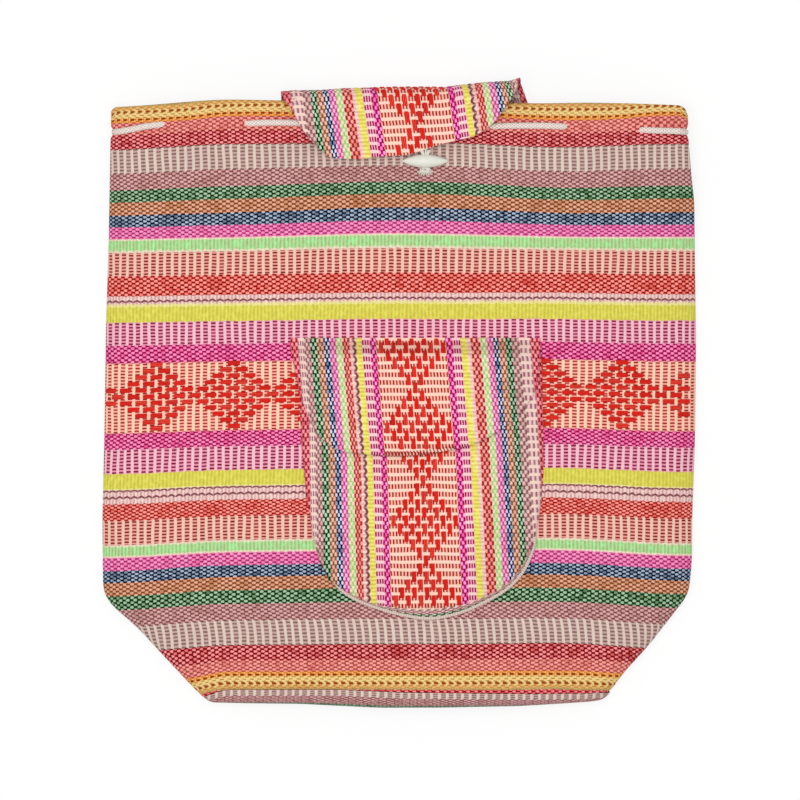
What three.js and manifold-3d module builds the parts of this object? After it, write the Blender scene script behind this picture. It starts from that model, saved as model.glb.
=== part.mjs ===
// An empty woven cotton backpack lying on its back, front upwards and mouth towards +Y.
// Cloth panels are sewn into a sack with boxed bottom corners. A short flap folds over the mouth,
// a round-bottomed pocket with its own flap sits on the front, and one cotton cord is laced through
// the hem and runs down behind the sack as the two shoulder cords.
import * as THREE from "three";
import { mergeVertices } from "three/addons/utils/BufferGeometryUtils.js";
import Module from "manifold-3d";

const wasm = await Module();
wasm.setup();

// Cloth and sewing, in millimetres
const clothThickness = 2.2;
const seamGap = 0.3;
const ridgeHeight = 0.8;
const nearestRows = 1.5;

// Sack: plan
const bagLength = 380;
const bagWidth = 382;
const mouthWidth = 375;
const baseWidth = 258;
const cornerRise = 64;
const baseBulge = 9;
const taperStart = 210;

// Sack: heights, and the share of the half width where the rolled edge begins
const seamHeight = 6.5;
const edgeRise = 5.5;
const edgeShare = 0.92;
const baseRise = 12;
const bellyRise = 22;
const mouthRise = 10;

// Cord, its lacing line in the hem and the tabs that hold its ends
const cordDiameter = 4.3;
const cordSides = 8;
const cordBelowMouth = 16;
const cordPinch = 7;
const pinchReach = 10;
const pinchBelowLine = 4;
const slitLength = 25;
const slitWidth = 7.4;
const tabWidth = 26;
const tabLength = 32;
const tabThickness = 2;
const tabX = 112;
const tabY = 62;

// Hollow under the back, where the shoulder cords lie
const hollowStart = 20;
const hollowRamp = 25;
const hemRampReach = 110;
const hemRamp = 74;
const hollowOuterShare = 0.86;
const hollowInnerShare = 0.74;

// Pocket flap on the front, and its hook and loop tapes
const pocketX = 13;
const pocketFlapTopY = 227;
const pocketFlapWidth = 160;
const pocketFlapDepth = 74;
const pocketFlapCorner = 40;
const tapeLength = 60;
const tapeWidth = 20;
const tapeThickness = 1.2;
const tapeAboveEdge = 25;

// Pocket below it
const pocketMouthDrop = 11;
const pocketWidth = 156;
const pocketDepth = 167;
const pocketRise = 12;
const pocketMouthRise = 8;
const pocketFlange = 5;
const pocketSlope = 12;
const bindingDiameter = 2.4;

// Top flap
const flapX = 3;
const flapWidth = 157;
const flapEndWidth = 72;
const flapReach = 13;
const flapSewn = 22;
const flapDrop = 36;
const flapCornerDrop = 30;

// Toggle that closes the top flap, on a knotted tie
const toggleX = 16.2;
const toggleBelowFlap = 0.4;
const toggleLength = 30;
const toggleDiameter = 8.8;
const toggleTip = 1.2;
const tieDiameter = 2.6;
const boreClearance = 0.4;
const tieUnderFlap = 10;
const knotWidth = 7;
const knotHeight = 5.4;

// Stripes of the body cloth from its middle diamond stripe outwards, and how wide each is.
// They repeat mirrored on the other side of the middle.
const diamondStripe = 44.5;
const bodyStripes = [10.6, 14.5, 11, 7, 12, 14.3, 8.7, 8.4, 7.7, 8.4, 8.2, 11.6, 15.2, 8.9, 8.1, 10.4];
const diamondY = 190;

// Stripes of the narrow band cloth that the pocket and both flaps are cut from
const bandDiamondStripe = 44.5;
const bandStripe = 11.2;

const clamp = THREE.MathUtils.clamp;
const lerp = THREE.MathUtils.lerp;
const cordRadius = cordDiameter / 2;
const cordLift = cordDiameter + tabThickness + 2.6 * seamGap;
const cordLine = bagLength - cordBelowMouth;
const pinchLine = cordLine - pinchBelowLine;
const hemRampStart = bagLength - hemRampReach;
const hemRampEnd = hemRampStart + hemRamp;

// The sack's outline and skin

function halfWidthAt(y) {
  const lower = lerp(baseWidth, bagWidth, clamp(y / cornerRise, 0, 1)) / 2;
  const taper = ((bagWidth - mouthWidth) / 2) * clamp((y - taperStart) / (bagLength - taperStart), 0, 1);
  const pinch = cordPinch * Math.max(0, 1 - Math.abs(y - pinchLine) / pinchReach);
  return lower - taper - pinch;
}

// How full the rolled edge is at a share of the half width: 1 inside and 0 at the seam.
function edgeAt(share) {
  return Math.sqrt(1 - clamp((Math.abs(share) - edgeShare) / (1 - edgeShare), 0, 1) ** 2);
}

// How far the front rises over its rolled edges, along the middle of the bag.
function riseAt(y) {
  const v = clamp(y / bagLength, 0, 1);
  const middle = 2 * bellyRise - (baseRise + mouthRise) / 2;
  return baseRise * (1 - v) ** 2 + 2 * middle * v * (1 - v) + mouthRise * v * v;
}

function domeAt(share) {
  return 1 - Math.abs(share) ** 3;
}

// The cords run out under the hem at both sides, so the whole mouth end is lifted by them.
function hemLift(y) {
  return cordLift * clamp((y - hemRampStart) / hemRamp, 0, 1);
}

function backLift(share, y) {
  const across = clamp((hollowOuterShare - Math.abs(share)) / (hollowOuterShare - hollowInnerShare), 0, 1);
  const along = clamp((y - hollowStart) / hollowRamp, 0, 1);
  return Math.max(cordLift * Math.min(across, along), hemLift(y));
}

function frontHeight(share, y) {
  const skin = seamHeight + seamGap / 2 + hemLift(y);
  return skin + edgeRise * edgeAt(share) + riseAt(y) * domeAt(share);
}

// Height of the front cloth's outer face above the floor, on the ridges of its stripes.
function frontTop(x, y) {
  return frontHeight(clamp(x / halfWidthAt(y), -1, 1), y) + ridgeHeight;
}

// Geometry helpers

// A closed sheet over a grid: top and bottom give a point for each column and row value.
function sheetGeometry(columns, rows, top, bottom) {
  const across = columns.length;
  const positions = [];
  const index = [];
  for (const side of [top, bottom]) {
    for (const row of rows) {
      for (const column of columns) positions.push(...side(column, row));
    }
  }
  const at = (side, i, j) => side * across * rows.length + j * across + i;
  const quad = (a, b, c, d) => index.push(a, b, c, a, c, d);
  const lastColumn = across - 1;
  const lastRow = rows.length - 1;
  for (let j = 0; j < lastRow; j++) {
    for (let i = 0; i < lastColumn; i++) {
      quad(at(0, i, j), at(0, i + 1, j), at(0, i + 1, j + 1), at(0, i, j + 1));
      quad(at(1, i, j), at(1, i, j + 1), at(1, i + 1, j + 1), at(1, i + 1, j));
    }
    quad(at(0, 0, j), at(0, 0, j + 1), at(1, 0, j + 1), at(1, 0, j));
    quad(at(0, lastColumn, j + 1), at(0, lastColumn, j), at(1, lastColumn, j), at(1, lastColumn, j + 1));
  }
  for (let i = 0; i < lastColumn; i++) {
    quad(at(0, i + 1, 0), at(0, i, 0), at(1, i, 0), at(1, i + 1, 0));
    quad(at(0, i, lastRow), at(0, i + 1, lastRow), at(1, i + 1, lastRow), at(1, i, lastRow));
  }
  const geometry = new THREE.BufferGeometry();
  geometry.setAttribute("position", new THREE.Float32BufferAttribute(positions, 3));
  geometry.setIndex(index);
  return geometry;
}

// A round cord along points, with flat ends.
function cordGeometry(points, diameter, steps, sides = cordSides) {
  const section = new THREE.Shape();
  for (let i = 0; i < sides; i++) {
    const angle = (2 * Math.PI * i) / sides;
    const corner = [(diameter / 2) * Math.cos(angle), (diameter / 2) * Math.sin(angle)];
    if (i === 0) section.moveTo(...corner);
    else section.lineTo(...corner);
  }
  const extrudePath = new THREE.CatmullRomCurve3(points.map((p) => new THREE.Vector3(...p)));
  return new THREE.ExtrudeGeometry(section, { steps, extrudePath, bevelEnabled: false });
}

function solidOf(geometry) {
  const bare = geometry.clone();
  bare.deleteAttribute("normal");
  bare.deleteAttribute("uv");
  const merged = mergeVertices(bare, 1e-4);
  const vertProperties = new Float32Array(merged.attributes.position.array);
  const triVerts = new Uint32Array(merged.index.array);
  return new wasm.Manifold(new wasm.Mesh({ numProp: 3, vertProperties, triVerts }));
}

function geometryOf(solid) {
  const mesh = solid.getMesh();
  const geometry = new THREE.BufferGeometry();
  geometry.setAttribute("position", new THREE.BufferAttribute(mesh.vertProperties, 3));
  geometry.setIndex(new THREE.BufferAttribute(mesh.triVerts, 1));
  return geometry;
}

// The same shares to the left and right of the middle.
function mirrored(shares) {
  return [...shares.map((share) => -share).reverse(), 0, ...shares];
}

// Values that divide the way from one place to another into equal steps, without its two ends.
function between(from, to, steps) {
  return [...Array(steps - 1).keys()].map((i) => lerp(from, to, (i + 1) / steps));
}

const byValue = (a, b) => a - b;

const bag = new THREE.Group();

function addPiece(name, geometry, material) {
  const mesh = new THREE.Mesh(geometry, material);
  mesh.name = name;
  bag.add(mesh);
  return mesh;
}

// Front, back and base panels

// Stripe lines across the body cloth: every stripe is a low ridge between two grooves.
function stripeRows() {
  const grooves = [];
  for (const side of [-1, 1]) {
    let line = diamondY + (side * diamondStripe) / 2;
    grooves.push(line);
    for (const width of bodyStripes) {
      line += side * width;
      grooves.push(line);
    }
  }
  const inside = grooves.filter((y) => y > nearestRows && y < bagLength - nearestRows);
  const lines = [0, ...inside.sort(byValue), bagLength];
  const rows = lines.map((y) => ({ y, ridge: 0 }));
  for (let i = 0; i + 1 < lines.length; i++) {
    rows.push({ y: (lines[i] + lines[i + 1]) / 2, ridge: ridgeHeight });
  }
  return rows;
}

// Rows that both panels share, so that their seam edges bend at the same places.
const pinchRows = [pinchLine - pinchReach, pinchLine, pinchLine + pinchReach];
const seamRows = [cornerRise, hemRampStart, hemRampEnd, ...pinchRows];

function frontRows() {
  const free = stripeRows().filter((row) => seamRows.every((y) => Math.abs(y - row.y) > nearestRows));
  const shared = seamRows.map((y) => ({ y, ridge: ridgeHeight / 2 }));
  return [...free, ...shared].sort((a, b) => a.y - b.y);
}

const edgeColumns = [edgeShare, lerp(edgeShare, 1, 0.5), lerp(edgeShare, 1, 0.82), 1];
const sackColumns = mirrored([0.25, 0.5, hollowInnerShare, hollowOuterShare, ...edgeColumns]);

function frontPanelGeometry() {
  const top = (share, row) => {
    const z = frontHeight(share, row.y) + row.ridge * edgeAt(share);
    return [share * halfWidthAt(row.y), row.y, z];
  };
  const bottom = (share, row) => {
    const z = frontHeight(share, row.y) - clothThickness * edgeAt(share);
    return [share * (halfWidthAt(row.y) - clothThickness), row.y, z];
  };
  return sheetGeometry(sackColumns, frontRows(), top, bottom);
}

function backPanelGeometry() {
  const rim = seamHeight - seamGap / 2;
  const hollowRows = [hollowStart, hollowStart + hollowRamp, ...between(cornerRise, hemRampStart, 4)];
  const rows = [0, ...hollowRows, ...seamRows, bagLength].sort(byValue);
  const outer = (share, y) => [share * halfWidthAt(y), y, backLift(share, y) + rim * (1 - edgeAt(share))];
  const inner = (share, y) => {
    const curl = (rim - clothThickness) * (1 - edgeAt(share));
    return [share * (halfWidthAt(y) - clothThickness), y, backLift(share, y) + clothThickness + curl];
  };
  return sheetGeometry(sackColumns, rows, inner, outer);
}

function basePanelGeometry() {
  const columns = sackColumns.filter((share) => Math.abs(share) < edgeColumns[2]);
  const turns = [0, ...between(0, Math.PI, 8), Math.PI];
  const wall = (inset) => (share, turn) => {
    const height = frontHeight(share, 0) / 2;
    const bulge = (baseBulge - seamGap) * Math.sqrt(1 - share ** 8) - inset;
    const y = -seamGap - bulge * Math.sin(turn) ** 0.8;
    return [(share * baseWidth) / 2, y, height - (height - inset) * Math.cos(turn)];
  };
  return sheetGeometry(columns, turns, wall(0), wall(clothThickness));
}

// Cord

// Route along the hem: x, y from the lacing line, and 1 where the cord is outside the cloth, -1 inside.
const hemRoute = [
  [-172, -2.4, 1], [-163, -0.6, 1], [-154, 0.5, 0.5], [-145, 1.4, -0.7], [-130, 1.6, -1], [-116, 1.2, -1],
  [-106, 0.8, -0.6], [-97, 1, 0.5], [-88, 1.5, 1], [-74, 1.6, 1], [-62, 1.2, 0.6], [-52, 0.4, -0.6],
  [-36, -0.2, -1], [-10, 0, -1], [16, 0.2, -1], [42, -0.4, -1], [52, -0.8, -0.6], [61, -0.7, 0.6],
  [74, -0.4, 1], [92, -0.4, 1], [104, -0.8, 0.6], [113, -1.2, -0.6], [124, -1.8, -1], [138, -2.2, -1],
  [148, -2.5, -0.7], [157, -3, 0.5], [166, -3.4, 1], [174, -3.6, 1],
];
const slitPlaces = [[-150.2, 0.9], [-101.1, 0.9], [-57, 0.8], [56.5, -0.7], [108.5, -1], [153.2, -2.8]];

// From the hem round the sack's edge to its underside, for the left side.
const edgeTurn = [
  [-179.8, 360.2, 22], [-183.9, 359.8, 14.2], [-181.6, 359.2, 6.4], [-174, 357.4, 2.55],
];

// On the floor below the back, from the edge turn to the tab at the bottom corner, for the left side.
const shoulderRoute = [
  [-169, 356.5, 2.35], [-148, 345, 2.35], [-122, 326, 2.35], [-98, 300, 2.35], [-84, 268, 2.35], [-90, 236, 2.35],
  [-112, 214, 2.35], [-128, 190, 2.35], [-122, 160, 2.35], [-98, 142, 2.35], [-66, 138, 2.35], [-44, 122, 2.35],
  [-42, 96, 2.35], [-60, 76, 2.35], [-84, 66, 2.35], [-104, 60, 2.35], [-120, 56, 2.35],
];

function hemPoint([x, fromLine, side]) {
  const y = cordLine + fromLine;
  const outside = frontTop(x, y) + cordRadius + seamGap;
  const inside = frontTop(x, y) - ridgeHeight - clothThickness - cordRadius - 2 * seamGap;
  return [x, y, lerp(inside, outside, (side + 1) / 2)];
}

function drawstringGeometry() {
  const left = [...edgeTurn].reverse();
  const right = edgeTurn.map(([x, y, z]) => [-x, y, z]);
  return cordGeometry([...left, ...hemRoute.map(hemPoint), ...right], cordDiameter, 68);
}

function slitSolid([x, fromLine]) {
  const y = cordLine + fromLine;
  const slit = new THREE.BoxGeometry(slitLength, slitWidth, 6 * clothThickness);
  return solidOf(slit.translate(x, y, frontTop(x, y) - clothThickness / 2));
}

// Pocket: a cloth dome sewn to the front along a round-bottomed U, open at its upper edge.
const pocketRadius = pocketWidth / 2;
const pocketMouthY = pocketFlapTopY - pocketMouthDrop;
const pocketBottomY = pocketMouthY - pocketDepth;
const pocketCentreY = pocketBottomY + pocketRadius;

function pocketHalfWidth(y) {
  const below = clamp((pocketCentreY - y) / pocketRadius, 0, 1);
  return pocketRadius * Math.sqrt(1 - below * below);
}

// Height of the pocket's inner face over the front, from the distance to its sewn edge.
function pocketHeight(x, y) {
  const away = Math.hypot(x - pocketX, Math.min(0, y - pocketCentreY));
  const rise = clamp((pocketRadius - away - pocketFlange) / pocketSlope, 0, 1);
  const nearMouth = clamp((pocketMouthY - y) / (2 * pocketSlope), 0, 1);
  return rise * lerp(pocketMouthRise, pocketRise, nearMouth);
}

// Columns across a piece of band cloth: the diamond stripe in the middle, then narrow stripes.
function bandColumns(halfWidth) {
  const right = [];
  let crest = false;
  for (let x = bandDiamondStripe / 2; x < halfWidth - bandStripe / 4; x += bandStripe / 2) {
    right.push({ share: x / halfWidth, ridge: crest ? ridgeHeight : 0 });
    crest = !crest;
  }
  right.push({ share: 1, ridge: 0 });
  const left = right.map(({ share, ridge }) => ({ share: -share, ridge })).reverse();
  return [...left, { share: 0, ridge: ridgeHeight }, ...right];
}

function pocketGeometry() {
  const arc = [0.985, 0.94, 0.86, 0.74, 0.58, 0.4, 0.2, 0].map((t) => pocketCentreY - t * pocketRadius);
  const full = pocketMouthY - 2 * pocketSlope;
  const rows = [...arc, ...between(pocketCentreY, full, 3), full, pocketMouthY];
  const face = (lift) => ({ share, ridge }, y) => {
    const x = pocketX + share * pocketHalfWidth(y);
    return [x, y, frontTop(x, y) + seamGap + pocketHeight(x, y) + (lift ? lift + ridge : 0)];
  };
  return sheetGeometry(bandColumns(pocketRadius), rows, face(clothThickness), face(0));
}

function bindingGeometry() {
  const radius = pocketRadius + bindingDiameter / 2 + seamGap;
  const straight = [pocketMouthY, ...between(pocketMouthY, pocketCentreY, 5)];
  const turns = [Math.PI, ...between(Math.PI, 2 * Math.PI, 16), 2 * Math.PI];
  const plan = [
    ...straight.map((y) => [pocketX - radius, y]),
    ...turns.map((turn) => [pocketX + radius * Math.cos(turn), pocketCentreY + radius * Math.sin(turn)]),
    ...straight.reverse().map((y) => [pocketX + radius, y]),
  ];
  const points = plan.map(([x, y]) => [x, y, frontTop(x, y) + bindingDiameter / 2 + seamGap]);
  return cordGeometry(points, bindingDiameter, 48, 6);
}

// Pocket flap: sewn to the front above the pocket, over its mouth and down its face.
const pocketFlapBottomY = pocketFlapTopY - pocketFlapDepth;
const flapClearance = 2 * tapeThickness + 3 * seamGap;

function pocketFlapHeight(x, y) {
  const onPocket = clamp((pocketFlapTopY - y) / pocketMouthDrop, 0, 1);
  const below = pocketHeight(x, Math.min(y, pocketMouthY));
  return onPocket * (below + clothThickness + ridgeHeight + flapClearance);
}

// Half width of a flap whose lower corners are rounded, drop running from 0 to 1 down the corners.
function roundedHalfWidth(full, end, drop) {
  return lerp(end, full, Math.sqrt(1 - clamp(drop, 0, 1) ** 2));
}

function pocketFlapGeometry() {
  const full = pocketFlapWidth / 2;
  const cornerTop = pocketFlapBottomY + pocketFlapCorner;
  const end = full - pocketFlapCorner;
  const halfWidth = (y) => roundedHalfWidth(full, end, (cornerTop - y) / pocketFlapCorner);
  const corner = [1, 0.92, 0.78, 0.58, 0.3, 0].map((t) => cornerTop - t * pocketFlapCorner);
  const rows = [...corner, ...between(cornerTop, pocketMouthY, 2), pocketMouthY, pocketFlapTopY];
  const face = (lift) => ({ share, ridge }, y) => {
    const x = pocketX + share * halfWidth(y);
    return [x, y, frontTop(x, y) + seamGap + pocketFlapHeight(x, y) + (lift ? lift + ridge : 0)];
  };
  return sheetGeometry(bandColumns(full), rows, face(clothThickness), face(0));
}

function tapeGeometry(underside) {
  const columns = [-1, -0.5, 0, 0.5, 1].map((share) => pocketX + (share * tapeLength) / 2);
  const middle = pocketFlapBottomY + tapeAboveEdge;
  const rows = [middle - tapeWidth / 2, middle, middle + tapeWidth / 2];
  const face = (lift) => (x, y) => [x, y, underside(x, y) + lift];
  return sheetGeometry(columns, rows, face(tapeThickness), face(0));
}

const pocketFace = (x, y) => frontTop(x, y) + seamGap + pocketHeight(x, y) + clothThickness + ridgeHeight;
const loopTapeFace = (x, y) => pocketFace(x, y) + seamGap;
const hookTapeFace = (x, y) => loopTapeFace(x, y) + tapeThickness + seamGap;

// Top flap: sewn inside the back at the mouth, turned over the hem and down onto the front.
const flapStandoff = Math.max(cordDiameter, (toggleDiameter + tieDiameter) / 2 + seamGap) + 3 * seamGap;

// Points down the middle of the flap's cloth for a column at x: sewn run, turn, then front run.
function flapLine(x) {
  const half = clothThickness / 2;
  const sewnZ = cordLift + clothThickness + ridgeHeight + seamGap + half;
  const frontZ = (y) => frontTop(x, y) + flapStandoff + half;
  const top = frontZ(bagLength);
  const turn = (angle) => [
    bagLength + (flapReach - half - ridgeHeight) * Math.cos(angle),
    (sewnZ + top) / 2 + ((top - sewnZ) / 2) * Math.sin(angle),
  ];
  const quarter = Math.PI / 2;
  return [
    ...[1, 0.5].map((t) => [bagLength - t * flapSewn, sewnZ]),
    ...[-quarter, ...between(-quarter, quarter, 6), quarter].map(turn),
    ...[0.2, 0.45, 0.65, 0.82, 0.94, 1].map((t) => bagLength - t * flapDrop).map((y) => [y, frontZ(y)]),
  ];
}

function topFlapGeometry() {
  const middleLine = flapLine(flapX);
  const rows = [...middleLine.keys()];
  const cornerTop = bagLength - flapDrop + flapCornerDrop;
  const face = (side) => ({ share, ridge }, row) => {
    const drop = row < rows.length / 2 ? 0 : (cornerTop - middleLine[row][0]) / flapCornerDrop;
    const x = flapX + share * roundedHalfWidth(flapWidth / 2, flapEndWidth / 2, drop);
    const line = flapLine(x);
    const before = line[Math.max(0, row - 1)];
    const after = line[Math.min(rows.length - 1, row + 1)];
    const along = new THREE.Vector2(after[0] - before[0], after[1] - before[1]).normalize();
    const off = side * (clothThickness / 2) + (side > 0 ? ridge : 0);
    return [x, line[row][0] + along.y * off, line[row][1] - along.x * off];
  };
  return sheetGeometry(bandColumns(flapWidth / 2), rows, face(-1), face(1));
}

// Toggle and tie, lying on the front just below the top flap's edge.
const flapEndY = bagLength - flapDrop;
const toggleY = flapEndY - toggleBelowFlap - toggleDiameter / 2;
const toggleZ = frontTop(toggleX, toggleY) + toggleDiameter / 2 + seamGap;

function toggleGeometry() {
  const half = toggleLength / 2;
  const ring = (t) => {
    const radius = toggleTip + (toggleDiameter / 2 - toggleTip) * Math.cos((Math.PI / 2) * t) ** 0.8;
    return new THREE.Vector2(radius, half * t);
  };
  const rings = [-0.98, ...between(-0.98, 0.98, 10), 0.98].map(ring);
  const profile = [new THREE.Vector2(0, -half), ...rings, new THREE.Vector2(0, half)];
  const spindle = new THREE.LatheGeometry(profile, 16).rotateZ(Math.PI / 2);
  const boreRadius = tieDiameter / 2 + boreClearance;
  const bore = new THREE.CylinderGeometry(boreRadius, boreRadius, 2 * toggleDiameter, 12);
  return geometryOf(solidOf(spindle).subtract(solidOf(bore))).translate(toggleX, toggleY, toggleZ);
}

function tieGeometry() {
  const knotY = toggleY - toggleDiameter / 2 - knotHeight / 2 - seamGap;
  const endY = flapEndY + tieUnderFlap;
  const endZ = frontTop(toggleX, endY) - frontTop(toggleX, toggleY);
  const cord = cordGeometry([[0, knotY, 0], [0, toggleY, 0], [0, endY, endZ]], tieDiameter, 6);
  const knot = new THREE.SphereGeometry(knotWidth / 2, 12, 8);
  knot.scale(1, knotHeight / knotWidth, knotHeight / knotWidth).translate(0, knotY, 0);
  return geometryOf(solidOf(cord).add(solidOf(knot))).translate(toggleX, 0, toggleZ);
}

// Assembly

function cloth(colour) {
  return new THREE.MeshStandardMaterial({ color: colour, roughness: 0.9, metalness: 0 });
}

const bodyCloth = cloth("#cf7a76");
const bandCloth = cloth("#d8705f");
const bindingCloth = cloth("#dcb6a8");
const cotton = cloth("#e9e2d4");
const tape = cloth("#efe9dd");
const toggleWhite = new THREE.MeshStandardMaterial({ color: "#eceee6", roughness: 0.45, metalness: 0 });

const slits = slitPlaces.map(slitSolid);
const lacedFront = slits.reduce((panel, slit) => panel.subtract(slit), solidOf(frontPanelGeometry()));
addPiece("front_panel", geometryOf(lacedFront), bodyCloth);
addPiece("back_panel", backPanelGeometry(), bodyCloth);
addPiece("base_panel", basePanelGeometry(), bodyCloth);
addPiece("pocket", pocketGeometry(), bandCloth);
addPiece("pocket_flap", pocketFlapGeometry(), bandCloth);
addPiece("pocket_binding", bindingGeometry(), bindingCloth);
addPiece("pocket_loop_tape", tapeGeometry(loopTapeFace), tape);
addPiece("pocket_hook_tape", tapeGeometry(hookTapeFace), tape);
addPiece("top_flap", topFlapGeometry(), bandCloth);
addPiece("toggle", toggleGeometry(), toggleWhite);
addPiece("toggle_tie", tieGeometry(), cotton);
addPiece("drawstring", drawstringGeometry(), cotton);

for (const [side, sign] of [["left", 1], ["right", -1]]) {
  const route = shoulderRoute.map(([x, y, z]) => [sign * x, y, z]);
  addPiece(`${side}_shoulder_cord`, cordGeometry(route, cordDiameter, 34), cotton);
  const tab = new THREE.BoxGeometry(tabWidth, tabLength, tabThickness);
  const tabZ = cordLift - seamGap - tabThickness / 2;
  addPiece(`${side}_corner_tab`, tab, bodyCloth).position.set(-sign * tabX, tabY, tabZ);
}

// The origin is on the floor under the middle of the bag's length.
bag.position.y = -(bagLength + flapReach - baseBulge) / 2;

const backpack = new THREE.Group();
backpack.add(bag);

export default backpack;
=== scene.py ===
import functools
import math

import bpy
import numpy as np
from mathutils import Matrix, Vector


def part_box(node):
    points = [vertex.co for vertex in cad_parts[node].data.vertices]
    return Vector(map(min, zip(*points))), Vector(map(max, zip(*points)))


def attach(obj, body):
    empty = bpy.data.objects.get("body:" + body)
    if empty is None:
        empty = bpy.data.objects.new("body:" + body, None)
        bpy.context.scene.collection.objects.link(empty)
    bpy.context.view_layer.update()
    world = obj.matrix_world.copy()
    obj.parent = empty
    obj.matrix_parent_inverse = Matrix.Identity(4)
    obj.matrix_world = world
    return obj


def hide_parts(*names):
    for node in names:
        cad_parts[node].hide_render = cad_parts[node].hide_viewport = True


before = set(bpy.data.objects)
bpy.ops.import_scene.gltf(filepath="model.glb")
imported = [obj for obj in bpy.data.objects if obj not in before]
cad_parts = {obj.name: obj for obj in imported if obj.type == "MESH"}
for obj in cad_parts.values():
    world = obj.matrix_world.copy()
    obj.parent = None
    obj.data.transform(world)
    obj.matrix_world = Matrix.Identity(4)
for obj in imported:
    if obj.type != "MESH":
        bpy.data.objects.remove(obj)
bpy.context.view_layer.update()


def reader(table, blur=0.0):
    """Function that reads a table of (place, value), its corners rounded over blur."""
    places, values = np.array(table, float).T
    offsets = np.linspace(-blur, blur, 7) if blur else [0.0]
    return lambda place: np.mean([np.interp(place + d, places, values) for d in offsets], axis=0)


# Sizes are in millimetres in the bag's own frame: y runs up from the seam between front and base.
# They become metres in the row frame where a mesh is made.
SEAM_Y = 1000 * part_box("front_panel")[0].y
CLOTH = 2.2
CORD = 4.3
CORD_LIFT = 7.08
CORD_LINE = 364
BAG_LENGTH = 380
HALF_WIDTH = 191
HEM = 25

# Sack: the share of its half width where an edge begins to roll, the heights of its skin, and the ramp
# on which the mouth end rises over the cord below it
EDGE_SHARE = 0.92
SKIN_HEIGHT = 6.65
EDGE_RISE = 5.8
BASE_RISE = 12
BELLY_RISE = 33
MOUTH_RISE = 10
HEM_RAMP = (270, 344)
EDGE_STEPS = 8
INSET_FROM = 0.9

# Front: its grid, the seam's dip, the stripes' crowns, the hem's fold, step and extra thickness, and the
# ridge that the cord makes inside the hem
FRONT_COLUMNS = 141
FRONT_SPACING = 1.4
SEAM_ROWS = (0.5, 1.1)
SEAM_REACH = 8
SEAM_DIP = 1.1
SEAM_DIP_REACH = 2.2
CROWN = 0.5
FOLD_RADIUS = 2.4
FOLD_DROP = 3.4
HEM_STEP = 0.5
HEM_THICKNESS = 2
CORD_RIDGE = 1.2
CORD_RIDGE_REACH = 4.5
cord_hidden_at = reader([
    (-158, 0), (-146, 1), (-108, 1), (-96, 0), (-61, 0), (-50, 1), (50, 1), (62, 0), (103, 0), (114, 1),
    (147, 1), (158, 0),
])

# Back: its grid, its crowns and the hollow above the shoulder cords, as a share of the half width
BACK_COLUMNS = 85
BACK_SPACING = 2.4
BACK_CROWN = 0.35
BACK_SKIN = 0.45
BACK_EDGE = 6.35
HOLLOW_HALF = 0.86
HOLLOW_RAMP = 0.12
HOLLOW_HEIGHTS = (20, 45)

# Base: how far it starts inside the front's seam, how round it is, and the width of a weave row
BASE_COLUMNS = 121
BASE_TURN = 33
SEAM_GAP = 0.3
BASE_SINK = 0.5
BASE_LEAST = 0.4
BASE_ROUNDNESS = 0.8
BASE_ROW = 0.88

# Side edges drawn in where the cord leaves the hem
PINCH = 2.0
PINCH_BELOW = 4.2
PINCH_REACH = 2.6

# Stripes from the middle diamond stripe outwards: name, weave rows, width below and above it
DIAMOND = 44.4
BAND_DIAMOND = 45.1
DIAMOND_ROWS = 17
DIAMOND_Y = 189.6
BODY_STRIPES = [
    ("magenta", 8, 10.4, 11.5),
    ("magenta_bars", 11, 15.3, 14.7),
    ("yellow", 7, 9.6, 9.8),
    ("butter", 1, 0.6, 1.9),
    ("blush", 5, 9.1, 5.2),
    ("scarlet", 9, 10.5, 13.0),
    ("red_bars", 11, 14.7, 14.4),
    ("cream", 1, 0.5, 0.5),
    ("mint", 4, 6.3, 7.4),
    ("cream", 1, 0.5, 0.5),
    ("pink", 6, 8.5, 8.0),
    ("navy", 6, 7.5, 7.9),
    ("ochre", 6, 8.4, 8.9),
    ("green", 6, 9.0, 8.2),
    ("rose", 8, 10.7, 11.1),
    ("rose_bars", 11, 16.1, 16.3),
    ("red", 7, 9.7, 9.3),
    ("coral", 6, 7.4, 8.3),
    ("amber", 2, 2.8, 2.8),
    ("orange", 5, 8.6, 7.9),
    # rim is no stripe of thread: a narrow olive band of painted shade where the hem's fold turns away at
    # the top edge
    ("rim", 1, 0.2, 1.3),
    ("seam", 3, 4.0, 4.0),
]

# The narrow band cloth of the pocket and flaps: name, weave rows, width left and right of the diamonds
BAND_STRIPES = [
    ("magenta", 3, 3.9, 4.4),
    ("magenta_bars", 5, 5.2, 5.2),
    ("yellow", 3, 3.9, 4.3),
    ("blush", 2, 4.3, 2.1),
    ("scarlet", 4, 4.3, 6.3),
    ("mint", 3, 4.3, 4.4),
    ("pink", 3, 4.1, 4.0),
    ("navy", 3, 3.9, 3.6),
    ("ochre", 3, 4.2, 4.3),
    ("green", 3, 4.4, 3.9),
    ("rose", 3, 3.9, 5.1),
    ("rose_bars", 4, 3.9, 7.4),
    ("red", 4, 6.1, 6.1),
]
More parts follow.
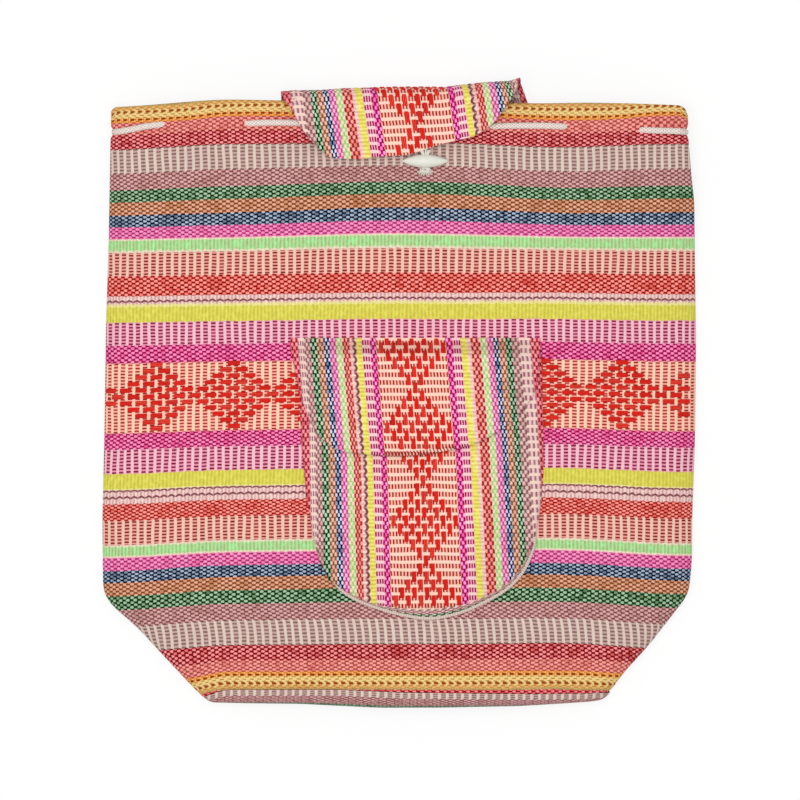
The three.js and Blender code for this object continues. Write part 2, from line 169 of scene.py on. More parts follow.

# Weave of each stripe, and its dark, middle and light threads in sRGB. Where a weave darkens the gaps and
# grooves between threads, the dark tone is painted shade. Where it lightens the floats' tops, the light
# tone is partly a painted highlight. Dashes and pale ribs keep the threads' own colours.
WEAVES = {
    "diamond": ("bars", (150, 25, 30), (250, 170, 150), (242, 205, 178)),
    "magenta": ("basket", (120, 0, 55), (200, 40, 100), (255, 145, 195)),
    "magenta_bars": ("bars", (115, 5, 45), (230, 145, 170), (240, 190, 200)),
    "yellow": ("ribs", (175, 170, 55), (215, 205, 85), (230, 225, 100)),
    "butter": ("ribs", (220, 205, 110), (230, 220, 140), (240, 230, 165)),
    "blush": ("ribs", (150, 105, 75), (240, 195, 200), (245, 215, 205)),
    "scarlet": ("basket", (115, 5, 0), (200, 55, 45), (255, 155, 145)),
    "red_bars": ("bars", (115, 25, 15), (235, 155, 145), (235, 195, 175)),
    "cream": ("ribs", (205, 185, 150), (225, 210, 180), (240, 225, 200)),
    "mint": ("ribs", (115, 155, 85), (180, 210, 150), (165, 240, 155)),
    "pink": ("basket", (145, 35, 90), (215, 85, 140), (250, 150, 200)),
    "navy": ("basket", (0, 0, 15), (30, 45, 70), (170, 185, 205)),
    "ochre": ("basket", (110, 55, 30), (165, 100, 60), (230, 170, 145)),
    "green": ("basket", (0, 35, 0), (40, 75, 35), (165, 195, 165)),
    "rose": ("basket", (110, 65, 65), (160, 105, 100), (220, 170, 170)),
    "rose_bars": ("bars", (125, 95, 90), (195, 160, 155), (220, 200, 185)),
    "red": ("basket", (100, 0, 0), (155, 25, 25), (250, 150, 155)),
    "coral": ("basket", (155, 65, 60), (195, 95, 85), (255, 160, 155)),
    "amber": ("dashes", (130, 50, 10), (240, 140, 70), (245, 185, 100)),
    "orange": ("dashes", (140, 60, 20), (215, 160, 90), (235, 205, 135)),
    # rim: olive tones of painted shade on the hem's fold
    "rim": ("ribs", (150, 130, 75), (175, 150, 90), (200, 170, 105)),
    "seam": ("basket", (125, 5, 10), (195, 30, 40), (250, 140, 140)),
}
BAND_WEAVES = {
    "diamond": ("bars", (145, 25, 25), (250, 180, 160), (250, 210, 190)),
    "magenta": ("basket", (120, 20, 70), (205, 15, 90), (255, 155, 220)),
    "magenta_bars": ("bars", (95, 0, 20), (250, 155, 185), (245, 205, 205)),
    "yellow": ("ribs", (190, 145, 65), (230, 225, 95), (245, 235, 135)),
    "blush": ("ribs", (200, 140, 130), (240, 195, 185), (255, 220, 210)),
    "scarlet": ("basket", (130, 35, 35), (195, 70, 50), (255, 165, 165)),
    "mint": ("basket", (160, 195, 115), (190, 215, 145), (240, 225, 195)),
    "pink": ("basket", (165, 70, 110), (215, 95, 150), (255, 180, 225)),
    "navy": ("basket", (10, 0, 15), (25, 55, 95), (220, 215, 235)),
    "ochre": ("basket", (110, 70, 55), (180, 115, 85), (240, 190, 170)),
    "green": ("basket", (5, 20, 0), (40, 95, 45), (195, 215, 190)),
    "rose": ("basket", (120, 90, 80), (175, 115, 115), (230, 190, 190)),
    "rose_bars": ("bars", (140, 105, 100), (240, 190, 195), (240, 210, 195)),
    "red": ("basket", (135, 25, 35), (200, 75, 85), (250, 155, 165)),
}
ZIGZAG = (122, 70, 74)
BRICK = (216, 28, 20)
BRICK_SPLIT = (250, 170, 140)

# How far the lying cloth lifts the stripes at each height: it hangs at both sides, bulges in the
# middle and sags to the right of it below the hem
left_hang_at = reader([(0, -5), (30, -5), (230, -1), (290, -1), (381, -5)], 12)
middle_bulge_at = reader([(0, 0), (50, 1.5), (270, 1.5), (316, 4), (345, 1.5), (381, -2.5)], 12)
right_sag_at = reader([(0, 0), (25, 1.3), (270, 1.3), (350, -2.2), (381, -2.2)], 12)
right_hang_at = reader([(0, -3.5), (30, -3.5), (230, 0.5), (355, 0.5), (381, -4.5)], 12)
HANG_FROM = 105
HANG_TO = 191
BULGE_REACH = 125
SAG_X = 100
SAG_REACH = 75
CORNER_DROOP = 3.2
DROOP_FROM_MIDDLE = (112, 136)
DROOP_HEIGHTS = (6, 34)
BASE_ENDS = (-126.4, 135.2)
HEM_ENDS = (-186.6, 185.4)
HEM_CORNERS = (4.5, 6.5)
HEM_CORNER_HEIGHT = 16

# How far the woven pattern slips up over the hem's fold at each x
SLIP_HEIGHTS = (360, 372)
hem_slip_at = reader([
    (-191, 0.6), (-165, 0), (-139, -0.9), (-110, 0.7), (-64, 1.2), (60, 1.4), (110, 0), (132, 0),
    (152, 1.4), (166, 3.4), (191, 3.8),
], 8)

# Outline of the lying sack: height above the base seam, x
left_edge_at = reader([
    (-8, -122.9), (-1.3, -130.8), (9, -140.4), (30, -160), (40, -169), (55.5, -187.1), (60.6, -190.1),
    (65.8, -191.6), (110, -192), (161, -190.8), (239, -189.6), (290, -187.9), (390, -186),
], 5)
right_edge_at = reader([
    (-8, 124.6), (-1.3, 135.6), (9, 142.5), (30, 161.6), (40, 169.2), (60.6, 185.4), (65.8, 186.7),
    (84, 188.4), (110, 188.5), (161, 190.3), (226, 191), (316, 189.8), (329, 188.2), (355, 186),
    (390, 185.3),
], 5)
base_low_at = reader([
    (-134, 1), (-130.5, -1), (-126.7, -5), (-122.7, -8.1), (-100, -8.6), (-64.5, -9), (-12.9, -11.5),
    (26, -11.4), (77.4, -10.4), (108, -8.6), (124, -7.5), (131.6, -6.2), (135.6, -2), (138, 1),
], 3)
seam_low_at = reader([
    (-128, -1.9), (-118, -0.2), (-112, 0.4), (-40, 0.5), (0, -1.3), (95, -2.5), (119, -2.2), (130, -0.8),
], 6)

# Pocket outline, its piping where it stands away from the pocket, and the free edge of its flap
POCKET_X = 15.2
POCKET_MIDDLE = 110
POCKET_LEAN = -0.037
POCKET_FAN = -0.0003
POCKET_MOUTH = 216
POCKET_GRID = 129
POCKET_GAP = 0.6
POCKET_LINING_GAP = 0.55
POCKET_WALL = 4.2
POCKET_PUFF = 10.3
PUFF_REACH = (1, 34)
MOUTH_SINK = 0.25
MOUTH_SINK_FROM = 190
LEAST_WAY = 1e-3
POCKET_LEFT = [
    (51.5, 11), (52.6, -2), (54.8, -15.5), (57.6, -24), (62.6, -34.2), (70.3, -45.2), (83.9, -52.2),
    (100, -56.1), (126, -60.6), (167, -63.9), (216, -65.5),
]
POCKET_RIGHT = [
    (51.5, 14), (52.2, 25.8), (54.2, 38.7), (56.8, 48.4), (60.5, 56), (64.5, 64.5), (71, 72), (78.7, 78.7),
    (89, 83.9), (100, 87.7), (121, 90.9), (141, 92.5), (167, 92.2), (216, 91),
]
pocket_left_at = reader(POCKET_LEFT)
pocket_right_at = reader(POCKET_RIGHT)
pocket_low_at = reader([(x, y) for y, x in POCKET_LEFT[::-1] + POCKET_RIGHT])
PIPING = [
    (-62.5, 214), (-60.6, 167), (-57.2, 126), (-53, 100), (-49.5, 84), (-43, 71), (-34.2, 61.9),
    (-19.4, 54.8), (0, 49), (19.4, 46.4), (37.4, 49.7), (52.9, 56.1), (69, 65.5), (79.5, 77), (86, 92),
    (86.6, 100), (88.3, 121), (89.8, 141), (88.4, 214),
]
PIPING_RADIUS = 1.05
PIPING_HEIGHT = 1.7
PIPING_SPACING = 1.6
GUSSET_SPAN = slice(6, 15)
GUSSET_COLUMNS = 97
GUSSET_STEPS = 9
GUSSET_SPACING = 1.5
GUSSET_GAP = 0.9
GUSSET_RISE = 2.2
GUSSET_CLOTH = 0.8
GUSSET_WEAVE_ROWS = 7
GUSSET_TOP = [
    (-34, 63.4), (-15.5, 55.6), (11, 52.3), (38.7, 55), (56, 61.3), (72, 71.8), (83.9, 89.8), (86, 95),
]
POCKET_FLAP_X = 6.7
POCKET_FLAP_TOP = 227
POCKET_FLAP_LEAN = -0.08
POCKET_FLAP_ENDS = (-70.4, 90.4)
POCKET_FLAP_SIDES = (-70.6, 90.6)
POCKET_FLAP_ROWS = 81
POCKET_FLAP_SWING = 0.55
POCKET_FLAP_REST = 214
POCKET_FLAP_GAP = 2.2
POCKET_FLAP_PUFF = 3.6
POCKET_FLAP_PUFF_REACH = 22
POCKET_FLAP_ROOT = 13
RIM_DROP = 1.2
RIM_REACH = 0.8
GROOVE = 0.5
GROOVE_PLACE = 5
GROOVE_REACH = 0.9
BAND_CROWN = 0.45
pocket_flap_edge_at = reader([
    (-70.6, 223), (-68, 208), (-64.5, 190.3), (-56.8, 170.9), (-51, 163), (-45.2, 157.4), (-35.5, 153.6),
    (-22, 152), (0, 151), (18, 152), (38, 156), (47, 158.8), (55, 162), (67, 169), (76.8, 178.7),
    (83, 185), (88.4, 194), (90.6, 223),
], 2)

# Stitches over the pocket flap's edge
STITCH_SPAN = (-9, 36)
STITCH_PITCH = 2.1
STITCH_LENGTH = 2.8
STITCH_LEAN = 1.2
STITCH_RADIUS = 0.4

# Top flap: its way inside the back, over the mouth and down, the pull at its right corner, where it turns
# over the mouth, and its free edge
FLAP_X = 6.4
FLAP_SPREAD = 1.015
FLAP_COLUMNS = 129
FLAP_ROWS = 89
FLAP_SWING = 0.5
FLAP_SEWN = 22
FLAP_SEWN_GAP = 2.2
FLAP_HEIGHT = 7.6
FLAP_RUN = 42
FLAP_SINK = 3.2
FLAP_SINK_FROM = 12
FLAP_LEAN = 0.14
FLAP_LEAN_FROM = 36
CORNER_PULL = 7.2
CORNER_SHEAR = 0.38
CORNER_TOP = 393.5
CORNER_HEIGHT = 14.5
CORNER_X = (58, 84)
FLAP_ENDS = (-76.6, 84.0)
flap_fold_at = reader([
    (-76.6, 384), (-73, 385.2), (-51.6, 385.3), (-38.7, 386.4), (-20, 387), (26, 387), (38.7, 388.7),
    (51.6, 390.2), (64.5, 391), (76, 391.2), (84, 393.6),
], 4)
flap_edge_at = reader([
    (-77.9, 381.8), (-74.5, 380), (-71.8, 373.5), (-69.4, 365.1), (-65.7, 357.1), (-61.1, 351.7),
    (-54.3, 343.9), (-49.7, 342.7), (-32.8, 342.1), (-24.2, 343.6), (-3.6, 344.5), (8.9, 348.1),
    (22.7, 352.4), (41.4, 356.6), (49.3, 361.4), (55.9, 366.2), (65.1, 377), (70.2, 382), (77.6, 388),
    (84, 396),
], 3)

# Cord: along the hem (x, y from the lacing line, 1 outside the cloth and -1 inside it), round the
# left edge, and below the back to the tab at the bottom corner
HEM_ROUTE = [
    (-172, -2.4, 1), (-163, -0.6, 1), (-154, 0.5, 0.5), (-145, 1.4, -0.7), (-130, 1.6, -1), (-116, 1.2, -1),
    (-106, 0.8, -0.6), (-97, 1, 0.5), (-88, 1.5, 1), (-74, 1.6, 1), (-62, 1.2, 0.6), (-52, 0.4, -0.6),
    (-36, -0.2, -1), (-10, 0, -1), (16, 0.2, -1), (42, -0.4, -1), (52, -0.8, -0.6), (61, -0.7, 0.6),
    (74, -0.4, 1), (92, -0.4, 1), (104, -0.8, 0.6), (113, -1.2, -0.6), (124, -1.8, -1), (138, -2.2, -1),
    (148, -2.5, -0.7), (157, -3, 0.5), (166, -3.4, 1), (174, -3.6, 1),
]
EDGE_TURN = [(-179.8, 360.2, 22), (-183.9, 359.8, 14.2), (-181.6, 359.2, 6.4), (-174, 357.4, 2.55)]
SHOULDER_Z = 2.35
SHOULDER_ROUTE = [
    (-169, 356.5), (-148, 345), (-122, 326), (-98, 300), (-84, 268), (-90, 236), (-112, 214),
    (-128, 190), (-122, 160), (-98, 142), (-66, 138), (-44, 122), (-42, 96), (-60, 76), (-84, 66),
    (-104, 60), (-120, 56),
]

# Cord's mesh, how far it presses on the cloth and keeps off it inside, and the depth of its braid
CORD_SPACING = 1.1
CORD_SIDES = 16
CORD_PRESS = 0.7
CORD_ROOM = 0.6
CLOTH_TOP = 0.8
BRAID_PITCH = 5.2
BRAID_STRANDS = 4
BRAID_DEPTH = 0.07

# Toggle, its tie and the knot, with the loose ends below and above it
TOGGLE = (16.2, 340.8)
TOGGLE_LENGTH = 30
TOGGLE_RADIUS = 4.4
TOGGLE_ROUNDNESS = 0.75
TOGGLE_STEPS = 41
TOGGLE_SIDES = 32
LEAST_RADIUS = 0.05
TIE_RADIUS = 0.6
TIE_SPACING = 0.5
TIE_TOP = 14
KNOT_GAP = 1.3
KNOT_STEPS = 260
FRINGE = [(-4.8, 1.2), (-3.9, 2.2), (-2.4, 2.9), (-0.9, 3.3), (0.9, 3.1), (2.5, 2.8), (3.8, 2), (4.9, 1)]
UPPER_FRINGE = (-3, -1.6, 0.4, 2, 3.2)

# Tabs and tapes: a tab's size, puffed rim, groove and weave rows, and a tape's thickness and width
TAB_SIZE = (26, 32)
TAB_PUFF = 0.5
TAB_PUFF_REACH = 2
TAB_GROOVE = 0.3
TAB_GROOVE_PLACE = 3.2
TAB_START = 100
TAB_ROW = 1.37
TAPE = 1.2
TAPE_WIDTH = 20

# Diamonds: the middle of one along its stripe, the lattice's steps along and across and the shift of its
# rows; then the length and width of a float
BODY_LATTICE = (-6.9, 10.0, 4.05, 0.9)
POCKET_LATTICE = (109.4, 10.32, 4.0, 0.6)
POCKET_FLAP_LATTICE = (220.6, 10.32, 4.0, 0.6)
FLAP_LATTICE = (43.5, 10.72, 4.15, -1.6)
BODY_FLOAT = (7.9, 3.0)
POCKET_FLOAT = (7.4, 2.95)
FLAP_FLOAT = (7.7, 3.15)
FLOAT_GRID = 7
FLOAT_LIFT = 0.7
FLOAT_SINK = 0.1

# Floor, light and camera: places and sizes in metres, the lamp in watts, lens and sensor in millimetres
FLOOR_SIZE = 6.0
FLOOR_TONE = 0.96
FLOOR_GLOW = 0.82
SKY = 0.55
LAMP_SIZE = 1.6
LAMP_POWER = 36
LAMP_PLACE = (-0.2, 0.08, 2.5)
LENS = 900
SENSOR = 36
CAMERA_REACH = 40
CAMERA_PLACE = (0, -0.005, 12.911)


# Numbers

def share(value, low, high):
    """How far a value is on the way from low to high, from 0 to 1."""
    return np.clip((value - low) / (high - low), 0, 1)


def ease(value, low, high):
    t = share(value, low, high)
    return t * t * (3 - 2 * t)


def stacked(*parts):
    """The parts side by side along a last axis."""
    return np.stack(np.broadcast_arrays(*parts), -1)


def unit(vectors):
    return vectors / np.linalg.norm(vectors, axis=-1, keepdims=True)


def crowded(ends, count, swing):
    """Places between two ends, crowded towards them by a share of swing."""
    part = np.linspace(-1, 1, count)
    return np.mean(ends) + np.ptp(ends) / 2 * (swing * np.sin(np.pi / 2 * part) + (1 - swing) * part)


def run_length(points, axis=0):
    """Length along lines of points from their start."""
    ahead = np.diff(points, axis=axis, prepend=points.take([0], axis))
    return np.cumsum(np.linalg.norm(ahead, axis=-1), axis=axis)


def stripe_lines(stripes, column, diamond):
    """Distance from the middle of the diamond stripe and row number at each stripe's outer edge."""
    lines = [(diamond / 2, DIAMOND_ROWS)]
    for stripe in stripes:
        place, row = lines[-1]
        lines.append((place + stripe[column], row + stripe[1]))
    return lines


def both_sides(stripes, diamond):
    below = [(-p, -r) for p, r in reversed(stripe_lines(stripes, 2, diamond))]
    return np.array(below + stripe_lines(stripes, 3, diamond), float)


BODY_LINES = both_sides(BODY_STRIPES, DIAMOND)
BAND_LINES = both_sides(BAND_STRIPES, BAND_DIAMOND)
FOLD = DIAMOND_Y + BODY_LINES[-2, 0]


def first_row(stripes, name):
    """Row number at the inner edge of a stripe."""
    names = [stripe[0] for stripe in stripes]
    return DIAMOND_ROWS + sum(stripe[1] for stripe in stripes[:names.index(name)])


def rows_at(lines, place):
    """Row number of the weave, counted from the middle of the diamond stripe."""
    return np.interp(place, lines[:, 0], lines[:, 1])


def crown_at(lines, place):
    """How full a stripe is: 1 in its middle and 0 in the grooves beside it."""
    edges = lines[:, 0]
    stripe = np.clip(np.searchsorted(edges, place) - 1, 0, len(edges) - 2)
    inside = share(place, edges[stripe], edges[stripe + 1])
    return 1 - np.abs(2 * inside - 1) ** 4


# Materials

def linear(colour):
    """sRGB from 0 to 255 as a linear RGBA colour."""
    parts = [c / 255 for c in colour]
    return (*[c / 12.92 if c < 0.04045 else ((c + 0.055) / 1.055) ** 2.4 for c in parts], 1.0)


def shown(colour):
    """sRGB from 0 to 255 as RGBA from 0 to 1, still sRGB."""
    return (*[c / 255 for c in colour], 1.0)


class Number:
    """A number in a node tree, so that a material reads as a formula."""

    def __init__(self, tree, socket):
        self.tree = tree
        self.socket = socket

    def calculate(self, operation, *others):
        node = add_node(self.tree, "Math", self, *others, operation=operation)
        return Number(self.tree, node.outputs[0])

    __add__ = functools.partialmethod(calculate, "ADD")
    __sub__ = functools.partialmethod(calculate, "SUBTRACT")
    __mul__ = functools.partialmethod(calculate, "MULTIPLY")
    __truediv__ = functools.partialmethod(calculate, "DIVIDE")
    floor = functools.partialmethod(calculate, "FLOOR")
    fraction = functools.partialmethod(calculate, "FRACT")
    size = functools.partialmethod(calculate, "ABSOLUTE")
    most = functools.partialmethod(calculate, "MAXIMUM")

    def wave(self):
        """Cosine of whole turns."""
        return (self * (2 * math.pi)).calculate("COSINE")

    def between(self, low, high):
        """0 up to low, 1 from high on and smooth between them; low may be the higher one."""
        ends = (low, high, 0, 1) if low < high else (high, low, 1, 0)
        node = add_node(self.tree, "MapRange", self, *ends, interpolation_type="SMOOTHSTEP")
        return Number(self.tree, node.outputs[0])


def plug(tree, socket, value):
    """Links a number or a node's output to an input, or sets the input's value."""
    if isinstance(value, Number):
        value = value.socket
    if isinstance(value, bpy.types.NodeSocket):
        tree.links.new(value, socket)
    else:
        socket.default_value = value


def add_node(tree, kind, *inputs, **settings):
    """A new node with its settings made and its first inputs plugged."""
    node = tree.nodes.new("ShaderNode" + kind)
    for name, value in settings.items():
        setattr(node, name, value)
    for socket, value in zip(node.inputs, inputs):
        plug(tree, socket, value)
    return node


def new_material(name, roughness=0.9):
    material = bpy.data.materials.new(name)
    material.use_nodes = True
    tree = material.node_tree
    shader = tree.nodes["Principled BSDF"]
    shader.inputs["Roughness"].default_value = roughness
    shader.inputs["Specular IOR Level"].default_value = 0.15
    return material, tree, shader


def weave_place(tree):
    """Millimetres along the stripe and rows across it."""
    place = add_node(tree, "UVMap", uv_map="weave")
    parts = add_node(tree, "SeparateXYZ", place.outputs[0])
    return Number(tree, parts.outputs[0]), Number(tree, parts.outputs[1])


def vector(x, y):
    return add_node(x.tree, "CombineXYZ", x, y).outputs[0]


def chance(x, y):
    """A random number for each whole x and y."""
    node = add_node(x.tree, "TexWhiteNoise", vector(x, y), noise_dimensions="2D")
    return Number(x.tree, node.outputs["Value"])


def cloudy(x, y, scale, detail=2.0):
    node = add_node(x.tree, "TexNoise", vector(x, y))
    node.inputs["Scale"].default_value = scale
    node.inputs["Detail"].default_value = detail
    return Number(x.tree, node.outputs[0])


def mix(tree, factor, low, high):
    """Colour socket between two colours."""
    node = add_node(tree, "Mix", factor, data_type="RGBA")
    plug(tree, node.inputs[6], low)
    plug(tree, node.inputs[7], high)
    return node.outputs[2]


def brighten(tree, colour, factor):
    """Colour times a number."""
    node = add_node(tree, "VectorMath", colour, operation="SCALE")
    plug(tree, node.inputs["Scale"], factor)
    return node.outputs[0]


def bump(tree, shader, height, depth, strength=0.7):
    node = add_node(tree, "Bump")
    for name, value in (("Strength", strength), ("Distance", depth / 1000), ("Height", height)):
        plug(tree, node.inputs[name], value)
    plug(tree, shader.inputs["Normal"], node.outputs[0])


def steps(tree, place, stops):
    """Colour that changes at each stop and stays until the next one."""
    node = add_node(tree, "ValToRGB", place)
    node.color_ramp.interpolation = "CONSTANT"
    elements = node.color_ramp.elements
    elements.remove(elements[1])
    for i, (position, colour) in enumerate(stops):
        element = elements[0] if i == 0 else elements.new(position)
        element.position = position
        element.color = colour
    return node.outputs[0]


# Weave: how its kinds are told apart, then lengths along a stripe in millimetres, rows across it and shares
# of a float or of a row
WEAVE_MASKS = {"basket": (0, 0, 0, 1), "bars": (1, 0, 0, 1), "ribs": (0, 1, 0, 1), "dashes": (0, 0, 1, 1)}
RAMP_STEPS = 255
DISPLAY_GAMMA = 2.2
PERIOD = 4.97
BAND_STRETCH = 1.032
ROW_WINDING = 0.2
FLOAT_SLIP = 0.16
FLOAT_ENDS = (-0.35, 0.5)
RIB_PERIOD = 2.4
DASH_ROWS = 1.571
DASH_PLACE = 0.64
DASHES_MIDDLE = (first_row(BODY_STRIPES, "amber") + first_row(BODY_STRIPES, "rim")) / 2
DASHES_APART = 1.6
BEADS_IN_ROW = 1.2
WANDER_ALONG = 1.8
WANDER_ACROSS = 0.6


def basket(along, rows):
    """Light floats and dark gaps in turn along each row, staggered from row to row. The gaps' darkness is
    painted shade between the threads, and gloss is partly a painted highlight on the floats' tops.
    """
    swing = (along / PERIOD).wave()
    wound = rows - swing * (rows * 0.5).wave() * ROW_WINDING
    row = wound.floor()
    side = (row * 0.5).fraction() * 4 - 1
    slipped = along / PERIOD + (chance(row, row) - 0.5) * FLOAT_SLIP
    float_side = slipped.wave() * side
    height = (wound.fraction() - 0.5).size().between(0.5, 0.2)
    number = (along / PERIOD + (row * 0.5).fraction()).floor()
    # Random patches that make the painted gap shade and the painted highlight stronger or weaker
    patchy = (cloudy(along, rows, 0.16) - 0.5) * 1.5
    gap = height * (float_side * -1).between(*FLOAT_ENDS)
    gloss = height * float_side.between(*FLOAT_ENDS)
    return gap * (patchy - 1) + 1, gloss * (chance(number, row) * 0.6 + 0.65 + patchy)


def bars(along, rows):
    """Plain ribs across the stripe, with columns of dashes between them."""
    place = along / PERIOD
    column = place.floor()
    aside = (place.fraction() - DASH_PLACE).size()
    number = rows / DASH_ROWS + chance(column, column) * 0.3
    strength = chance(column, number.floor()) * 0.4 + 0.75
    dash = (number.fraction() - 0.5).size().between(0.32, 0.12) * aside.between(0.36, 0.25) * strength
    rib = aside.between(0.25, 0.35)
    return dash * -1 + 1, rib * (cloudy(along, rows, 0.8) * 0.5 + 0.7)


def ribs(along, rows):
    """Plain close ribs."""
    rib = (along / RIB_PERIOD).wave() * 0.24
    return rib + cloudy(along, rows, 0.9) * 0.8 + 0.4, rib + (cloudy(along, rows, 0.35) - 0.42) * 3.0


def dashes(along, rows):
    """Two rows of short dashes on a beaded ground, which is lightest between the rows."""
    x = ((along / PERIOD + 0.2).fraction() - 0.5).size().between(0.36, 0.18)
    from_middle = (rows - DASHES_MIDDLE).size()
    from_row = (from_middle - DASHES_APART).size()
    plain = x * from_row.between(0.65, 0.25) * -0.97 + 1
    rib = from_row.between(1.3, 0.7) * (x * -1 + 1)
    # Beads across the whole ground: painted shade darkens the gaps between them, and shine is a painted
    # highlight on their tops
    bead, shine = basket(along, rows * BEADS_IN_ROW)
    ground = from_middle.between(1.3, 0.8).most(rib) * bead * (cloudy(along, rows, 0.9) * 1.6 + 0.2)
    return plain * (bead * 0.4 + 0.6), plain * (ground + shine * 0.4)


def zigzag(along, rows, line, reach):
    """A winding thread at a row, reaching a share of a row to both sides."""
    place = along / PERIOD
    broken = (place.fraction() - 0.5).size().between(0.5, 0.36) * 0.6 + 0.4
    return (rows - line + place.wave() * reach * 0.5).size().between(reach, reach * 0.4) * broken


def weave_material(name, stripes, weaves, zigzags, stretch=1.0):
    """Woven cloth whose stripe comes from the row number and whose threads come from both places.

    The threads' sRGB colours are mixed as they are and made linear at the end.
    """
    material, tree, shader = new_material(name)
    straight, signed = weave_place(tree)
    along = straight / stretch + (cloudy(straight, signed, 0.05) - 0.5) * WANDER_ALONG
    signed = signed + (cloudy(straight, signed, 0.12) - 0.5) * WANDER_ACROSS
    rows = signed.size()
    names = [("diamond", DIAMOND_ROWS)] + [stripe[:2] for stripe in stripes]
    starts = np.maximum(np.cumsum([0] + [count for _, count in names[:-1]]) - 0.25, 0) / RAMP_STEPS
    looks = [weaves[stripe] for stripe, _ in names]
    place = (rows + (along / PERIOD).wave() * ROW_WINDING) / RAMP_STEPS
    dark, middle, light = (
        steps(tree, place, [(p, shown(look[i])) for p, look in zip(starts, looks)]) for i in (1, 2, 3)
    )
    masks = steps(tree, place, [(p, WEAVE_MASKS[look[0]]) for p, look in zip(starts, looks)])
    parts = add_node(tree, "SeparateColor", masks)
    is_bars, is_ribs, is_dashes = (Number(tree, socket) for socket in parts.outputs)
    is_basket = is_bars * -1 + 1 - is_ribs - is_dashes
    kinds = ((is_basket, basket), (is_bars, bars), (is_ribs, ribs), (is_dashes, dashes))
    looks = [(is_kind, pattern(along, rows)) for is_kind, pattern in kinds]
    thread, gloss = (
        functools.reduce(Number.__add__, [is_kind * both[i] for is_kind, both in looks]) for i in (0, 1)
    )
    # Large random patches where the light tone shows more or less. The dark tone in the gaps is painted
    # shade, and the light tone is partly a painted highlight on the floats
    gloss_patches = cloudy(along, signed, 0.05) * 0.7 + 0.65
    colour = mix(tree, gloss * gloss_patches, mix(tree, thread, dark, middle), light)
    for line, reach in zigzags:
        colour = mix(tree, zigzag(along, signed, line, reach), colour, shown(ZIGZAG))
    fine = cloudy(along, signed, 1.6) * 0.1 + 0.95
    curve = add_node(tree, "Gamma", brighten(tree, colour, fine), DISPLAY_GAMMA)
    plug(tree, shader.inputs["Base Color"], curve.outputs[0])
    bump(tree, shader, thread + gloss, 0.25)
    return material


def brick_material():
    """Long red floats of three threads each, with pale splits between the threads."""
    material, tree, shader = new_material("brick_floats", 0.85)
    along, rows = weave_place(tree)
    number = rows.floor()
    across = rows.fraction()
    thread = ((across * 3).fraction() - 0.5).size()
    pale = chance(number, number).between(0.45, 0.95)
    split = thread.between(0.38, 0.5) * (pale * 0.5 + 0.1)
    shade = chance(number, number * 1.7) * 0.16 + 0.88
    shade = shade * (cloudy(along, rows, 0.8) * 0.3 + 0.85)
    colour = mix(tree, split, linear(BRICK), linear(BRICK_SPLIT))
    plug(tree, shader.inputs["Base Color"], brighten(tree, colour, shade))
    bump(tree, shader, thread.between(0.5, 0.1) + cloudy(along * 0.3, rows * 9, 0.6), 0.25)
    return material


def braid_material(name, dark, light, turns, period):
    """Cord of strands that cross over each other: x runs along it in mm, y once round it."""
    material, tree, shader = new_material(name)
    shader.inputs["Sheen Weight"].default_value = 0.1
    along, around = weave_place(tree)
    climb = along / period
    strands = ((around * turns + climb).wave()).most((around * turns - climb).wave())
    strand = strands.between(-0.1, 0.95)
    fuzz = cloudy(along, around * 14, 1.4, 3.0)
    # The dark tone between the strands is painted shade in the grooves, and the light tone is the yarn on
    # the strands' tops
    colour = mix(tree, strand * (fuzz * 0.8 + 0.6), linear(dark), linear(light))
    plug(tree, shader.inputs["Base Color"], colour)
    bump(tree, shader, strand + fuzz * 0.5, 0.5)
    return material


def smooth_material(name, colour, roughness, mottle):
    """Smooth turned surface with a faint cloudy tone."""
    material, tree, shader = new_material(name, roughness)
    shader.inputs["Specular IOR Level"].default_value = 0.4
    along, around = weave_place(tree)
    tone = cloudy(along, around * 8, 0.35, 3.0)
    low = tuple(c * mottle for c in colour)
    plug(tree, shader.inputs["Base Color"], mix(tree, tone, linear(low), linear(colour)))
    bump(tree, shader, tone, 0.2, 0.3)
    return material


BLUSH = first_row(BODY_STRIPES, "blush")
BODY_ZIGZAGS = [(BLUSH + 1.5, 0.85), (-BLUSH - 0.3, 0.45), (-BLUSH - 2.6, 0.5)]
BAND_ZIGZAGS = [(-first_row(BAND_STRIPES, "blush") - 0.5, 0.62)]
BODY_WEAVE = weave_material("body_weave", BODY_STRIPES, WEAVES, BODY_ZIGZAGS)
BAND_WEAVE = weave_material("band_weave", BAND_STRIPES, BAND_WEAVES, BAND_ZIGZAGS, BAND_STRETCH)
BRICKS = brick_material()
# Each braid's first tone is painted shade between its strands
COTTON_CORD = braid_material("cotton_cord", (212, 186, 176), (255, 246, 238), 7, 2.4)
PIPING_YARN = braid_material("piping_yarn", (212, 188, 176), (238, 221, 211), 1, 1.6)
TAPE_PILE = braid_material("tape_pile", (205, 196, 182), (244, 240, 230), 6, 1.4)
TOGGLE_SATIN = smooth_material("toggle_satin", (231, 232, 220), 0.42, 0.93)
TIE_YARN = smooth_material("tie_yarn", (238, 234, 224), 0.9, 0.88)
STITCH_YARN = smooth_material("stitch_yarn", (165, 45, 45), 0.9, 0.85)


# Meshes

SHARP_ANGLE = 60
COARSE = 4
STEEP = 0.2
SPLINE_STEPS = 24


def to_row(points):
    return (np.asarray(points, float) + (0, SEAM_Y, 0)) / 1000


def add_object(name, data):
    thing = bpy.data.objects.new(name, data)
    bpy.context.scene.collection.objects.link(thing)
    return thing


